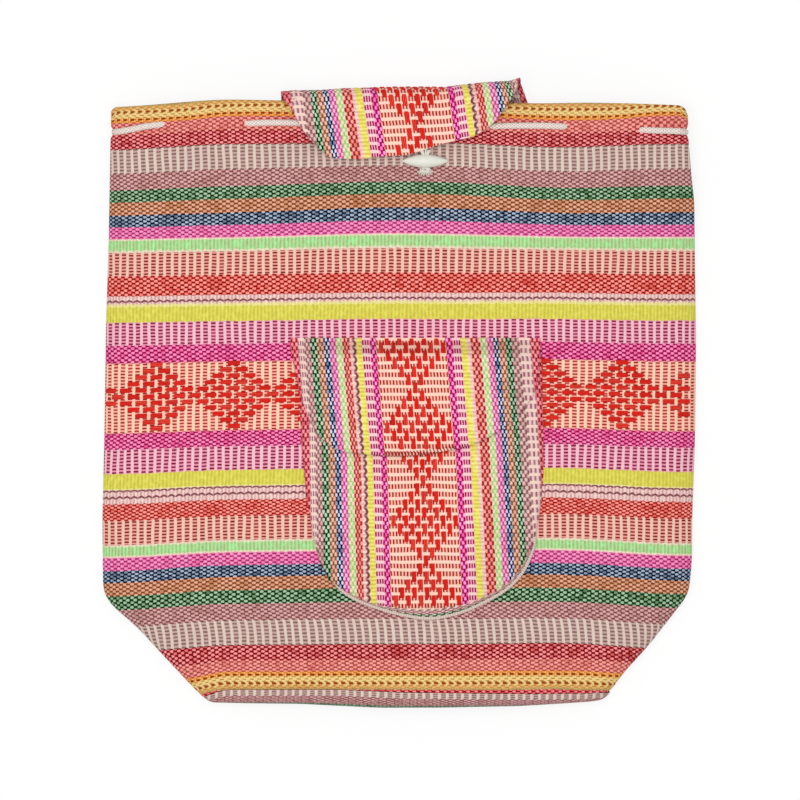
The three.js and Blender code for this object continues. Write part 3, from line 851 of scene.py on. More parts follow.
def add_piece(name, points, faces, weave, material, slot, nodes=()):
    mesh = bpy.data.meshes.new(name)
    mesh.from_pydata(to_row(points).tolist(), [], faces)
    corners = np.empty(len(mesh.loops), int)
    mesh.loops.foreach_get("vertex_index", corners)
    layer = mesh.uv_layers.new(name="weave")
    layer.data.foreach_set("uv", np.asarray(weave, float)[corners].ravel())
    mesh.materials.append(material)
    mesh.shade_smooth()
    mesh.set_sharp_from_angle(angle=math.radians(SHARP_ANGLE))
    piece = add_object(name, mesh)
    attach(piece, "root")
    if nodes:
        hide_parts(*nodes)
    return piece


def grid_faces(grid):
    corners = (grid[:-1, :-1], grid[:-1, 1:], grid[1:, 1:], grid[1:, :-1])
    return np.stack(corners, -1).reshape(-1, 4)


def border(grid):
    return np.concatenate([grid[0, :-1], grid[:-1, -1], grid[-1, :0:-1], grid[:0:-1, 0]])


def flipped(*grids):
    """Grids turned to face the other way."""
    return [grid[:, ::-1] for grid in grids]


def add_sheet(name, outer, inner, weave, material, slot, nodes=()):
    """A cloth of two faces: a fine grid seen from outside, a coarse one inside and the rim between them."""
    fine = np.arange(outer[..., 0].size).reshape(outer.shape[:2])
    few = inner[::COARSE, ::COARSE]
    under = fine.size + np.arange(few[..., 0].size).reshape(few.shape[:2])
    points = np.concatenate([outer.reshape(-1, 3), few.reshape(-1, 3)])
    faces = grid_faces(fine).tolist() + grid_faces(under)[:, ::-1].tolist()
    upper = np.append(border(fine), fine[0, 0]).tolist()
    lower = np.append(border(under), under[0, 0]).tolist()
    for i in range(len(lower) - 1):
        faces.append(lower[i:i + 2] + upper[i * COARSE:(i + 1) * COARSE + 1][::-1])
    places = np.concatenate([weave.reshape(-1, 2), weave[::COARSE, ::COARSE].reshape(-1, 2)])
    return add_piece(name, points, faces, places, material, slot, nodes)


def even(values):
    """The values, with the widest gaps halved until their steps divide by COARSE."""
    values = sorted(values)
    while (len(values) - 1) % COARSE:
        widest = int(np.argmax(np.diff(values)))
        values.insert(widest + 1, (values[widest] + values[widest + 1]) / 2)
    return np.array(values)


def no_swell(along, turn):
    return np.ones(np.broadcast(along, turn).shape)


def tube(path, radius, sides, swell=no_swell):
    """Points, faces and weave places of a tube along a path, swell(along, turn) scaling its radius."""
    path = np.asarray(path, float)
    ahead = unit(np.gradient(path, axis=0))
    up = (0, 0, 1) - ahead * ahead[:, 2:]
    steep = np.linalg.norm(up, axis=1) < STEEP
    up[steep] = (1, 0, 0) - ahead[steep] * ahead[steep, :1]
    up = unit(up)
    side = np.cross(ahead, up)
    along = run_length(path)[:, None]
    turn = np.linspace(0, 1, sides + 1)[None, :]
    angle = 2 * np.pi * turn[..., None]
    ring = up[:, None] * np.cos(angle) + side[:, None] * np.sin(angle)
    points = path[:, None] + radius * swell(along, turn)[..., None] * ring
    grid = np.arange(points[..., 0].size).reshape(points.shape[:2])
    faces = grid_faces(grid)[:, ::-1].tolist()
    faces.append(grid[0, :-1].tolist())
    faces.append(grid[-1, :-1][::-1].tolist())
    return points.reshape(-1, 3), faces, stacked(along, turn).reshape(-1, 2)


def tubes(paths, radius, sides):
    """Points, faces and weave places of a tube along each path."""
    points, faces, weave = [], [], []
    for path in paths:
        more, corners, places = tube(path, radius, sides)
        faces.extend([[corner + len(points) for corner in face] for face in corners])
        points.extend(more)
        weave.extend(places)
    return points, faces, weave


def spline(points, spacing):
    """Even points along a smooth curve through the given ones."""
    p = np.asarray(points, float)
    p = np.concatenate([[2 * p[0] - p[1]], p, [2 * p[-1] - p[-2]]])
    t = np.linspace(0, 1, SPLINE_STEPS, endpoint=False)[:, None]
    parts = []
    for a, b, c, d in zip(p[:-3], p[1:-2], p[2:-1], p[3:]):
        bend = 2 * a - 5 * b + 4 * c - d
        twist = 3 * b - a - 3 * c + d
        parts.append(0.5 * (2 * b + (c - a) * t + bend * t**2 + twist * t**3))
    return resample(np.concatenate(parts + [p[-2:-1]]), spacing)


def level_spline(points, spacing):
    return spline([(x, y, 0) for x, y in points], spacing)


def resample(fine, spacing):
    return spread(fine, max(2, int(round(run_length(fine)[-1] / spacing)) + 1))


def spread(fine, count):
    """A number of points evenly along a path."""
    along = run_length(fine)
    places = np.linspace(0, along[-1], count)
    return np.stack([np.interp(places, along, fine[:, i]) for i in range(3)], -1)


# Shape of the sack

def drape_at(x, height):
    """How far the stripe at a height is lifted at x."""
    left = left_hang_at(height) * ease(-x, HANG_FROM, HANG_TO)
    right = right_hang_at(height) * ease(x, HANG_FROM, HANG_TO)
    middle = middle_bulge_at(height) * (1 - ease(np.abs(x), 0, BULGE_REACH))
    sag = right_sag_at(height) * (1 - ease(np.abs(x - SAG_X), 0, SAG_REACH))
    return left + right + middle + sag


def front_y(x, height):
    """Where the stripe at a height of the cloth passes on the lying sack."""
    x, height = np.broadcast_arrays(np.asarray(x, float), np.asarray(height, float))
    drop = 0
    for side, edge, radius in zip((-1, 1), HEM_ENDS, HEM_CORNERS):
        near = np.clip(1 - side * (edge - x) / radius, 0, 1)
        drop = drop + radius * (1 - np.sqrt(1 - near**2))
    droop = CORNER_DROOP * ease(-x, *DROOP_FROM_MIDDLE) * (1 - ease(height, *DROOP_HEIGHTS))
    return height + drape_at(x, height) - droop - drop * ease(height, FOLD - HEM_CORNER_HEIGHT, FOLD)


def edges_at(y):
    pinch = PINCH * np.exp(-((y - CORD_LINE + PINCH_BELOW) / PINCH_REACH) ** 2)
    return left_edge_at(y) + pinch, right_edge_at(y) - pinch


def roll_at(across):
    """1 inside the sack, falling round its rolled edge to 0 at the side."""
    return np.sqrt(1 - share(np.abs(across), EDGE_SHARE, 1) ** 2)


def front_z(x, y):
    """Height of the front cloth's outer face in the grooves between its stripes."""
    left, right = edges_at(y)
    across = np.clip((2 * x - left - right) / (right - left), -1, 1)
    v = np.clip(y / BAG_LENGTH, 0, 1)
    rise = BASE_RISE * (1 - v) ** 2 + 2 * BELLY_RISE * v * (1 - v) + MOUTH_RISE * v**2
    slack = 0.7 * np.sin(x / 31 + y / 57) + 0.5 * np.sin(x / 19 - y / 43 + 1.3)
    lift = CORD_LIFT * share(y, *HEM_RAMP)
    return SKIN_HEIGHT + lift + EDGE_RISE * roll_at(across) + (rise + slack) * (1 - np.abs(across) ** 3)


def front_point(x, height, lift=0.0):
    """Point of the front cloth at x on the stripe at a height, above its crowns by lift."""
    y = front_y(x, height)
    return stacked(x, y, front_z(x, y) + CROWN + lift)


def side_by_side(count):
    """Places across the sack, close together where its edges roll over."""
    inner = np.linspace(-EDGE_SHARE, EDGE_SHARE, count)
    edge = EDGE_SHARE + (1 - EDGE_SHARE) * np.sin(np.linspace(0, np.pi / 2, EDGE_STEPS + 1)[1:])
    return np.concatenate([-edge[::-1], inner, edge])[None, :]


def sack_places(across, height_at):
    """x, height of the cloth and y at places across the sack; height_at(x) gives the rows' heights."""
    x = HALF_WIDTH * across
    for _ in range(4):
        heights = height_at(x)
        y = front_y(x, heights)
        left, right = edges_at(y)
        x = (left + right) / 2 + across * (right - left) / 2
    return x, heights, y


def body_weave_places(outer, heights):
    """Millimetres along each row of a grid from its middle, and rows of the weave."""
    length = run_length(outer, 1)
    return stacked(length - length[:, length.shape[1] // 2, None], rows_at(BODY_LINES, heights - DIAMOND_Y))


def cloth_rows(spacing, low, high):
    """Heights on the body cloth with a row on each stripe's edge."""
    edges = np.concatenate([[low], DIAMOND_Y + BODY_LINES[:, 0], [high]])
    edges = np.unique(edges[(edges >= low) & (edges <= high)])
    rows = [low]
    for start, end in zip(edges[:-1], edges[1:]):
        count = max(1, int(round((end - start) / spacing)))
        rows.extend(np.linspace(start, end, count + 1)[1:])
    return rows


def edge_inset(across):
    """How far the inner face keeps off the side at places across the sack."""
    return across * CLOTH * (np.abs(across) > INSET_FROM)


def add_front():
    across = side_by_side(FRONT_COLUMNS)
    roll = roll_at(across)
    hem_turn = FOLD - FOLD_RADIUS * (1 - np.sin(np.linspace(0, np.pi / 2, 6)))
    flat = cloth_rows(FRONT_SPACING, 0, FOLD - FOLD_RADIUS - 0.1)
    rows = even([*flat, *hem_turn, *SEAM_ROWS])[:, None]
    x, heights, y = sack_places(across, lambda x: rows + seam_low_at(x) * (1 - share(rows, 0, SEAM_REACH)))
    fold_drop = FOLD_DROP * (1 - np.sqrt(1 - share(heights, FOLD - FOLD_RADIUS, FOLD) ** 2))
    seam_dip = SEAM_DIP * (1 - ease(rows, 0, SEAM_DIP_REACH))
    ridge = CORD_RIDGE * np.exp(-((y - CORD_LINE) / CORD_RIDGE_REACH) ** 2) * cord_hidden_at(x)
    hem_step = HEM_STEP * ease(heights, FOLD - HEM - 0.8, FOLD - HEM)
    crown = CROWN * crown_at(BODY_LINES, heights - DIAMOND_Y)
    z = front_z(x, y) + roll * (crown + ridge + hem_step - fold_drop - seam_dip)
    outer = stacked(x, y, z)
    thick = CLOTH + HEM_THICKNESS * ease(heights, FOLD - HEM - 2, FOLD - HEM)
    inner_z = z + roll * (fold_drop - np.maximum(thick, fold_drop + 0.4))
    inner = stacked(x - edge_inset(across), y, inner_z)
    weave = body_weave_places(outer, heights - hem_slip_at(x) * ease(heights, *SLIP_HEIGHTS))
    add_sheet("front_cloth", outer, inner, weave, BODY_WEAVE, "body_cloth", ["front_panel"])


def back_lift(across, y):
    inside = np.minimum(ease(HOLLOW_HALF - np.abs(across), 0, HOLLOW_RAMP), ease(y, *HOLLOW_HEIGHTS))
    return CORD_LIFT * np.maximum(inside, share(y, *HEM_RAMP))


def add_back():
    across = side_by_side(BACK_COLUMNS)
    roll = roll_at(across)
    rows = even(cloth_rows(BACK_SPACING, 0, BAG_LENGTH))[:, None]
    x, heights, y = sack_places(across, lambda x: rows)
    crown = BACK_CROWN * crown_at(BODY_LINES, heights - DIAMOND_Y)
    z = back_lift(across, y) + BACK_EDGE * (1 - roll) + roll * (BACK_SKIN - crown)
    outer = stacked(x, y, z)
    inner = stacked(x - edge_inset(across), y, z + CLOTH * roll)
    sheet = flipped(outer, inner, body_weave_places(outer, heights))
    add_sheet("back_cloth", *sheet, BODY_WEAVE, "body_cloth", ["back_panel"])


BASE_START = first_row(BODY_STRIPES, "rose_bars") + 5


def add_base():
    turn = np.linspace(0, np.pi, BASE_TURN)[:, None]
    x = np.linspace(*BASE_ENDS, BASE_COLUMNS)[None, :]
    seam = front_y(x, seam_low_at(x)) - SEAM_GAP
    top = front_z(x, seam) - BASE_SINK
    reach = np.maximum(seam - base_low_at(x), BASE_LEAST)

    def wall(inset):
        y = seam - (reach - inset) * np.sin(turn) ** BASE_ROUNDNESS
        z = top / 2 + (top / 2 - inset) * np.cos(turn)
        return stacked(x, y, np.maximum(z, 0.1))

    outer = wall(0.0)
    weave = stacked(x, BASE_START - run_length(outer) / BASE_ROW)
    sheet = (outer[::-1], wall(CLOTH)[::-1], weave[::-1])
    add_sheet("base_cloth", *sheet, BODY_WEAVE, "body_cloth", ["base_panel"])


# Red floats that draw the diamonds

def add_bricks(name, slot, centres, size, place_at):
    """One mesh of rounded raised floats; place_at(along, across, lift) is a point of the cloth."""
    part = np.linspace(-1, 1, FLOAT_GRID)
    run, side = np.meshgrid(part, part)
    threads = 0.8 + 0.2 * np.abs(np.sin(1.5 * np.pi * (side + 1)))
    lift = FLOAT_LIFT * threads * np.sqrt(1 - run**8) * (1 - side**8) - FLOAT_SINK
    index = np.arange(run.size).reshape(run.shape)
    points, faces, weave = [], [], []
    for number, centre in enumerate(centres):
        along = centre[0] + run * size[0] / 2
        across = centre[1] + side * size[1] / 2
        corners = index + number * index.size
        faces.extend(grid_faces(corners).tolist())
        faces.append(border(corners)[::-1].tolist())
        points.append(place_at(along, across, lift).reshape(-1, 3))
        weave.append(stacked(along, number + 0.01 + 0.98 * (side + 1) / 2).reshape(-1, 2))
    add_piece(name, np.concatenate(points), faces, np.concatenate(weave), BRICKS, slot)


def diamond_centres(lattice, low, high, keep=lambda along, across: True):
    """Places of the floats: eleven rows of a lattice, fewer towards the diamond's two points."""
    middle, step, row_pitch, shift = lattice
    found = set()
    for number in range(-6, 7):
        for row in range(-5, 6):
            gaps = 5 - abs(row)
            for k in range(gaps + 1):
                along = middle + (5 * number + k - gaps / 2) * step
                if low <= along <= high:
                    found.add((round(along, 3), round(row * row_pitch, 3)))
    return [(along, across + shift) for along, across in sorted(found) if keep(along, across)]


def add_body_bricks():
    def place_at(along, across, lift):
        left, right = edges_at(DIAMOND_Y + across)
        return front_point(np.clip(along, left + 0.6, right - 0.6), DIAMOND_Y + across, lift)

    centres = diamond_centres(BODY_LATTICE, -188, 188)
    add_bricks("front_diamonds", "body_cloth", centres, BODY_FLOAT, place_at)


# Pocket, its piping and its flap

def pocket_height(x, y):
    """Height of the pocket's outer face over the front, from the way to its sewn edge."""
    side = np.maximum(np.minimum(x - pocket_left_at(y), pocket_right_at(y) - x), LEAST_WAY)
    below = np.maximum(y - pocket_low_at(x), LEAST_WAY)
    away = 1 / np.sqrt(1 / side**2 + 1 / below**2)
    wall = POCKET_WALL * np.sqrt(1 - (1 - share(away, 0, POCKET_WALL)) ** 2)
    mouth = 1 - MOUTH_SINK * ease(y, MOUTH_SINK_FROM, POCKET_MOUTH)
    return wall + POCKET_PUFF * ease(away, *PUFF_REACH) * mouth


def pocket_offset(x, y):
    """Distance from the pocket's middle stripe, which leans a little and fans out downwards."""
    return (x - POCKET_X - POCKET_LEAN * (y - POCKET_MIDDLE)) / (1 + POCKET_FAN * (y - POCKET_MIDDLE))


def pocket_x(offset, y):
    return POCKET_X + POCKET_LEAN * (y - POCKET_MIDDLE) + offset * (1 + POCKET_FAN * (y - POCKET_MIDDLE))


def pocket_point(x, y, lift=0.0):
    crown = CROWN * crown_at(BAND_LINES, pocket_offset(x, y))
    return stacked(x, y, front_z(x, y) + POCKET_GAP + pocket_height(x, y) + crown + lift)


def add_pocket():
    across = crowded((-1, 1), POCKET_GRID, 1)[None, :]
    part = 1 - np.cos(np.linspace(0, np.pi / 2, POCKET_GRID))[:, None]
    bottom = POCKET_LEFT[0][0]
    y = bottom + (POCKET_MOUTH - bottom) * part
    left, right = pocket_left_at(y), pocket_right_at(y)
    x = (left + right) / 2 + across * (right - left) / 2
    outer = pocket_point(x, y)
    inner_z = np.maximum(outer[..., 2] - CLOTH, front_z(x, y) + POCKET_LINING_GAP)
    weave = stacked(y, rows_at(BAND_LINES, pocket_offset(x, y)))
    inner = stacked(x, y, inner_z)
    add_sheet("pocket_cloth", outer, inner, weave, BAND_WEAVE, "band_cloth", ["pocket"])

    def is_inside(along, across):
        return along > pocket_low_at(pocket_x(across, along)) + 1.5

    def place_at(along, across, lift):
        x = pocket_x(across, along)
        return pocket_point(x, np.maximum(along, pocket_low_at(x) + 0.5), lift)

    centres = diamond_centres(POCKET_LATTICE, 51, 160, is_inside)
    add_bricks("pocket_diamonds", "band_cloth", centres, POCKET_FLOAT, place_at)


def add_piping():
    path = level_spline(PIPING, PIPING_SPACING)
    path[:, 2] = front_z(path[:, 0], path[:, 1]) + PIPING_HEIGHT
    add_piece("pocket_piping", *tube(path, PIPING_RADIUS, 10), PIPING_YARN, "binding", ["pocket_binding"])


def add_gusset():
    """Strip of cloth between the pocket's lower edge and the piping, where they part. Its weave starts at
    the band's dark green stripe, as painted shade for the gap under the pocket's edge.
    """
    lower, upper = (
        spread(level_spline(edge, GUSSET_SPACING), GUSSET_COLUMNS).T[:, None]
        for edge in (PIPING[GUSSET_SPAN], GUSSET_TOP)
    )
    part = np.linspace(0, 1, GUSSET_STEPS)[:, None]
    x, y, _ = lower * (1 - part) + upper * part
    outer = stacked(x, y, front_z(x, y) + GUSSET_GAP + GUSSET_RISE * np.sin(part * np.pi / 2))
    # Rows from the dark green stripe on: painted shade of the gap under the pocket's edge
    rows = first_row(BAND_STRIPES, "green") + GUSSET_WEAVE_ROWS * part
    weave = stacked(run_length(outer, 1), rows)
    add_sheet("pocket_gusset", outer, outer - (0, 0, GUSSET_CLOTH), weave, BAND_WEAVE, "band_cloth")


def pocket_flap_offset(x, y):
    """Distance from the pocket flap's middle stripe, which leans a little."""
    return x - POCKET_FLAP_X - POCKET_FLAP_LEAN * (y - POCKET_FLAP_TOP)


def pocket_flap_point(offset, y, lift=0.0):
    """Point of the pocket flap at an offset from its middle stripe, at y."""
    x = POCKET_FLAP_X + offset + POCKET_FLAP_LEAN * (y - POCKET_FLAP_TOP)
    rest = np.minimum(y, POCKET_FLAP_REST)
    inside = np.clip(x, pocket_left_at(rest) + 0.3, pocket_right_at(rest) - 0.3)
    from_edge = np.maximum(y - pocket_flap_edge_at(x), 0)
    from_side = np.minimum(x - POCKET_FLAP_SIDES[0], POCKET_FLAP_SIDES[1] - x)
    puff = POCKET_FLAP_PUFF * ease(from_side, 0, POCKET_FLAP_PUFF_REACH)
    below = pocket_height(inside, rest) + POCKET_FLAP_GAP + puff
    z = front_z(x, y) + CROWN + ease(POCKET_FLAP_TOP - y, 0, POCKET_FLAP_ROOT) * below
    rim = RIM_DROP * np.exp(-from_edge / RIM_REACH)
    groove = GROOVE * np.exp(-((from_edge - GROOVE_PLACE) / GROOVE_REACH) ** 2)
    return stacked(x, y, z - rim - groove + BAND_CROWN * crown_at(BAND_LINES, offset) + lift)


def add_pocket_flap():
    x = crowded(POCKET_FLAP_ENDS, FLAP_COLUMNS, POCKET_FLAP_SWING)[None, :]
    part = 1 - np.cos(np.linspace(0, np.pi / 2, POCKET_FLAP_ROWS))[:, None]
    edge = pocket_flap_edge_at(x)
    y = edge + (POCKET_FLAP_TOP - edge) * part
    offset = pocket_flap_offset(x, y)
    outer = pocket_flap_point(offset, y)
    sheet = (outer, outer - (0, 0, CLOTH), stacked(y, rows_at(BAND_LINES, offset)))
    piece = add_sheet("pocket_flap_cloth", *sheet, BAND_WEAVE, "band_cloth", ["pocket_flap"])

    def is_on_flap(along, across):
        return along - 5 > pocket_flap_edge_at(POCKET_FLAP_X + across)

    def place_at(along, across, lift):
        return pocket_flap_point(across, np.minimum(along, POCKET_FLAP_TOP - 0.4), lift)

    centres = diamond_centres(POCKET_FLAP_LATTICE, 156, 227, is_on_flap)
    add_bricks("pocket_flap_diamonds", "band_cloth", centres, POCKET_FLOAT, place_at)


def add_flap_stitches():
    """Slanted stitches over the pocket flap's free edge, below its diamonds."""
    part = np.linspace(0, 1, 6)
    paths = []
    for x in np.arange(*STITCH_SPAN, STITCH_PITCH):
        y = pocket_flap_edge_at(x) + 0.1 + STITCH_LENGTH * part
        offset = pocket_flap_offset(x - STITCH_LEAN * part, y)
        paths.append(pocket_flap_point(offset, y, STITCH_RADIUS / 2))
    add_piece("pocket_flap_stitches", *tubes(paths, STITCH_RADIUS, 6), STITCH_YARN, "band_cloth")


# Top flap

def flap_path(x):
    """The flap's way at x: sewn inside the back, over the mouth and down onto the front."""
    sewn = CORD_LIFT + CLOTH + FLAP_SEWN_GAP
    top = front_z(x, BAG_LENGTH - 3.0) + FLAP_HEIGHT
    angle = np.linspace(-np.pi / 2, np.pi / 2, 40)
    sewn_y = np.linspace(BAG_LENGTH - FLAP_SEWN, BAG_LENGTH, 12)[:-1]
    turn_y = BAG_LENGTH + (flap_fold_at(x) - BAG_LENGTH) * np.cos(angle)
    turn_z = (sewn + top) / 2 + (top - sewn) / 2 * np.sin(angle)
    run_y = np.linspace(BAG_LENGTH, BAG_LENGTH - FLAP_RUN, 44)[1:]
    sink = FLAP_SINK * share(BAG_LENGTH - run_y, FLAP_SINK_FROM, FLAP_RUN)
    run_z = front_z(x, run_y) + FLAP_HEIGHT - sink
    y = np.concatenate([sewn_y, turn_y, run_y])
    z = np.concatenate([np.full(len(sewn_y), sewn), turn_z, run_z])
    return y, z


def flap_column(x, share_along):
    """Points of the flap down one stripe, and the millimetres from where it is sewn."""
    y, z = flap_path(x)
    along = run_length(stacked(y, z))
    peak = int(np.argmax(y))
    cut = np.interp(-flap_edge_at(x), -y[peak:], along[peak:])
    at = cut * share_along
    return np.interp(at, along, y), np.interp(at, along, z), at


def sheet_reader(places, along, grid):
    """Function that reads a grid of vectors at a place across it and a length along each column."""
    def read(place, length):
        column = np.clip(np.interp(place, places, np.arange(len(places))), 0, len(places) - 1.001)
        j = int(column)
        near, far = (
            np.array([np.interp(length, along[:, k], grid[:, k, i]) for i in range(3)]) for k in (j, j + 1)
        )
        return near + (far - near) * (column - j)
    return np.vectorize(read, signature="(),()->(3)")


def add_top_flap():
    xs = crowded(FLAP_ENDS, FLAP_COLUMNS, FLAP_SWING)
    part = 1 - (1 - np.linspace(0, 1, FLAP_ROWS)) ** 1.4
    y, z, along = np.moveaxis([flap_column(x, part) for x in xs], 0, -1)
    down = np.maximum(along - FLAP_LEAN_FROM, 0)
    pull = CORNER_SHEAR * np.clip(CORNER_TOP - y, 0, CORNER_HEIGHT) - CORNER_PULL
    middle = stacked(xs + FLAP_LEAN * down + pull * ease(xs, *CORNER_X), y, z)
    normal = unit(np.cross(np.gradient(middle, axis=0), np.gradient(middle, axis=1)))
    offset = (FLAP_X - xs) / FLAP_SPREAD
    crown = BAND_CROWN * crown_at(BAND_LINES, offset)
    outer = middle + normal * (CLOTH / 2 + crown)[:, None]
    inner = middle - normal * CLOTH / 2
    weave = stacked(-along, rows_at(BAND_LINES, offset))
    sheet = flipped(outer, inner, weave)
    piece = add_sheet("top_flap_cloth", *sheet, BAND_WEAVE, "band_cloth", ["top_flap"])
    point_at = sheet_reader(xs, along, outer)
    normal_at = sheet_reader(xs, along, normal)
    ends = along[-1]

    def place_at(length, across, lift):
        place = FLAP_X + across * FLAP_SPREAD
        length = np.minimum(length, np.interp(place, xs, ends) - 0.3)
        return point_at(place, length) + normal_at(place, length) * lift[..., None]

    def is_on_flap(length, across):
        return length < np.interp(FLAP_X + across, xs, ends) - 1.5

    centres = diamond_centres(FLAP_LATTICE, 24, 98, is_on_flap)
    add_bricks("top_flap_diamonds", "band_cloth", centres, FLAP_FLOAT, place_at)


# Cord, toggle and small pieces

def cord_route():
    hem = []
    for x, from_line, side in HEM_ROUTE:
        y = CORD_LINE + from_line
        top = float(front_z(x, y))
        outside = top + CLOTH_TOP + CORD / 2 - CORD_PRESS
        inside = top - CLOTH - CORD / 2 - CORD_ROOM
        hem.append((x, y, inside + (outside - inside) * (side + 1) / 2))
    left = EDGE_TURN + [(x, y, SHOULDER_Z) for x, y in SHOULDER_ROUTE]
    right = [(-x, y, z) for x, y, z in left]
    return left[::-1] + hem + right


def braid(along, around):
    """Swell of the cord's strands, which cross over each other."""
    climb = along / BRAID_PITCH
    turns = BRAID_STRANDS * around
    strands = np.maximum(np.cos(2 * np.pi * (turns + climb)), np.cos(2 * np.pi * (turns - climb)))
    return 1 - BRAID_DEPTH + BRAID_DEPTH * strands


def add_cord():
    path = spline(cord_route(), CORD_SPACING)
    nodes = ["drawstring", "left_shoulder_cord", "right_shoulder_cord"]
    piece = add_piece("cotton_lacing", *tube(path, CORD / 2, CORD_SIDES, braid), COTTON_CORD, "cord", nodes)
    route = to_row(path)
    length = float(run_length(route)[-1])


def add_toggle():
    x, y = TOGGLE
    z = float(front_z(x, y)) + CLOTH_TOP + TOGGLE_RADIUS
    t = crowded((-1, 1), TOGGLE_STEPS, 1)
    radius = TOGGLE_RADIUS * np.cos(np.pi / 2 * np.abs(t)) ** TOGGLE_ROUNDNESS
    radius = np.maximum(radius, LEAST_RADIUS)[:, None]
    path = stacked(x + t * TOGGLE_LENGTH / 2, y, z)
    spindle = tube(path, 1.0, TOGGLE_SIDES, lambda along, turn: radius + 0 * turn)
    add_piece("toggle_spindle", *spindle, TOGGLE_SATIN, "toggle", ["toggle"])
    return x, y, z


def add_tie(x, y, z):
    """Strand from under the flap through the toggle to a knot, with loose ends on both sides of it."""
    knot_y = y - TOGGLE_RADIUS - KNOT_GAP
    angle = np.linspace(0, 6 * np.pi, KNOT_STEPS)
    lobes = angle * 5 / 3
    ring = 1.9 + 0.6 * np.cos(lobes)
    knot_x = x + 1.3 * ring * np.cos(angle)
    knot = stacked(knot_x, knot_y + 0.6 * ring * np.sin(angle), z - 1.4 + 1.2 * np.sin(lobes))
    top = (x + 1.2, y + TIE_TOP, float(front_z(x, y + TIE_TOP)) + 3)
    strand = spline([
        top, (x + 0.8, y + 9, z - 0.4), (x + 0.3, y + 5, z), (x, y, z), (x, y - TOGGLE_RADIUS, z), knot[0],
    ], TIE_SPACING)
    paths = [resample(np.concatenate([strand, knot[1:]]), TIE_SPACING)]
    for number, (reach, fall) in enumerate(FRINGE):
        rise = 0.5 * math.sin(2.4 * number)
        paths.append(spline([
            (x + 0.2 * reach, knot_y, z - 1), (x + 0.6 * reach, knot_y - 0.55 * fall, z - 1.6 + rise),
            (x + reach, knot_y - fall, z - 3.2),
        ], TIE_SPACING))
    edge = y + TOGGLE_RADIUS
    for reach in UPPER_FRINGE:
        paths.append(spline([
            (x + 0.3 * reach, edge - 1.2, z + 0.6), (x + 0.7 * reach, edge + 0.8, z + 1.2),
            (x + reach, edge + 2.6, z + 0.4),
        ], TIE_SPACING))
    add_piece("toggle_knot", *tubes(paths, TIE_RADIUS, 8), TIE_YARN, "cord", ["toggle_tie"])


def add_tabs():
    """Cloth tabs that hold the cord's ends under the bottom corners."""
    for side in ("left", "right"):
        low, high = (1000 * np.array(corner) - (0, SEAM_Y, 0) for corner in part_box(f"{side}_corner_tab"))
        u = np.linspace(0, 1, 17)[None, :]
        v = np.linspace(0, 1, 21)[:, None]
        x = low[0] + (high[0] - low[0]) * u
        y = low[1] + (high[1] - low[1]) * v
        rim = np.minimum(np.minimum(u, 1 - u) * TAB_SIZE[0], np.minimum(v, 1 - v) * TAB_SIZE[1])
        puff = TAB_PUFF * np.sqrt(1 - (1 - share(rim, 0, TAB_PUFF_REACH)) ** 2)
        groove = TAB_GROOVE * np.exp(-((rim - TAB_GROOVE_PLACE) / 0.5) ** 2)
        upper = stacked(x, y, high[2] - TAB_PUFF)
        lower = stacked(x, y, low[2] + TAB_PUFF - puff + groove)
        weave = stacked(x, TAB_START + (y - low[1]) / TAB_ROW)
        sheet = flipped(lower, upper, weave)
        add_sheet(f"{side}_tab", *sheet, BODY_WEAVE, "body_cloth", [f"{side}_corner_tab"])


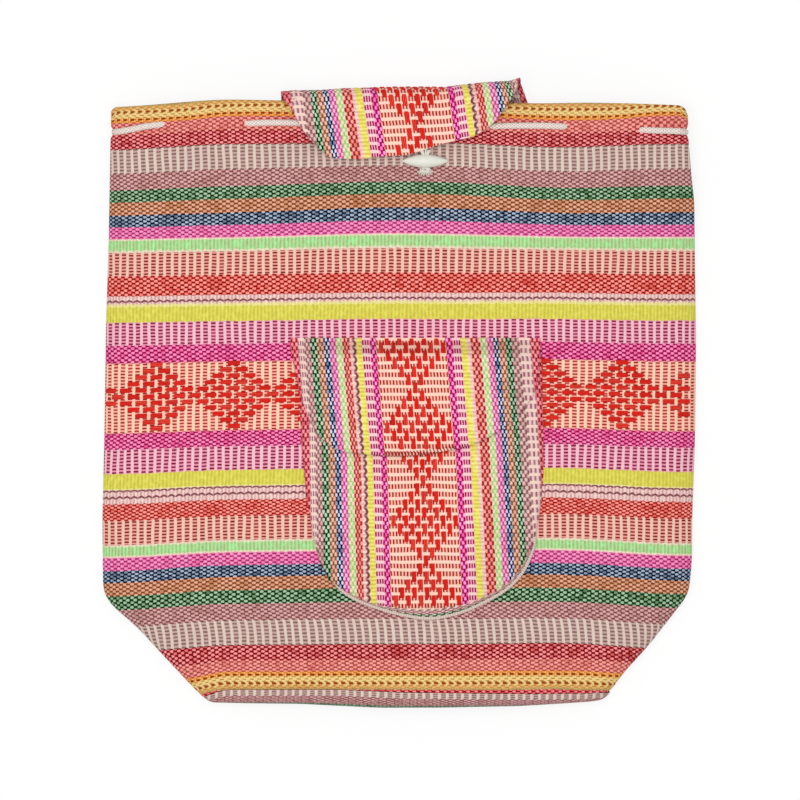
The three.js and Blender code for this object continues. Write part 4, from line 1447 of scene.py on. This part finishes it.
def add_tapes():
    """Hook and loop tapes between the pocket and its flap."""
    for name, lift in (("loop", 0.2), ("hook", 1.7)):
        low, high = (1000 * np.array(corner) - (0, SEAM_Y, 0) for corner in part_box(f"pocket_{name}_tape"))
        x = np.linspace(low[0], high[0], 41)[None, :]
        y = np.linspace(low[1], high[1], 17)[:, None]
        under = pocket_point(x, y, lift)
        weave = stacked(x, (y - low[1]) / TAPE_WIDTH)
        over = under + (0, 0, TAPE)
        add_sheet(f"{name}_tape", over, under, weave, TAPE_PILE, "tape", [f"pocket_{name}_tape"])


# Floor, light and camera

def add_stage():
    material, tree, shader = new_material("studio_floor")
    shader.inputs["Base Color"].default_value = (FLOOR_TONE, FLOOR_TONE, FLOOR_TONE, 1)
    glow = add_node(tree, "Emission")
    rays = add_node(tree, "LightPath")
    kinds = ("Is Camera Ray", "Is Glossy Ray", "Is Transmission Ray")
    seen = functools.reduce(Number.most, [Number(tree, rays.outputs[kind]) for kind in kinds])
    both = add_node(tree, "MixShader", seen * FLOOR_GLOW, shader.outputs[0], glow.outputs[0])
    plug(tree, tree.nodes["Material Output"].inputs[0], both.outputs[0])
    mesh = bpy.data.meshes.new("floor")
    half = FLOOR_SIZE / 2
    corners = [(-half, -half, 0), (half, -half, 0), (half, half, 0), (-half, half, 0)]
    mesh.from_pydata(corners, [], [(0, 1, 2, 3)])
    mesh.materials.append(material)
    add_object("floor", mesh)


def add_light():
    world = bpy.data.worlds.new("studio")
    bpy.context.scene.world = world
    world.use_nodes = True
    background = world.node_tree.nodes["Background"]
    background.inputs[0].default_value = (1, 1, 1, 1)
    background.inputs[1].default_value = SKY
    lamp = bpy.data.lights.new("softbox", "AREA")
    lamp.shape = "DISK"
    lamp.size = LAMP_SIZE
    lamp.energy = LAMP_POWER
    softbox = add_object("softbox", lamp)
    softbox.location = LAMP_PLACE
    softbox.rotation_euler = (-Vector(LAMP_PLACE)).to_track_quat("-Z", "Y").to_euler()


def add_camera():
    camera = bpy.data.cameras.new("camera")
    camera.lens = LENS
    camera.sensor_width = SENSOR
    camera.clip_end = CAMERA_REACH
    holder = add_object("camera", camera)
    holder.location = CAMERA_PLACE
    bpy.context.scene.camera = holder
    bpy.context.scene.view_settings.view_transform = "Standard"


add_camera()
add_cord()
add_front()
add_back()
add_base()
add_body_bricks()
add_pocket()
add_piping()
add_gusset()
add_pocket_flap()
add_flap_stitches()
add_top_flap()
add_tie(*add_toggle())
add_tabs()
add_tapes()
add_stage()
add_light()
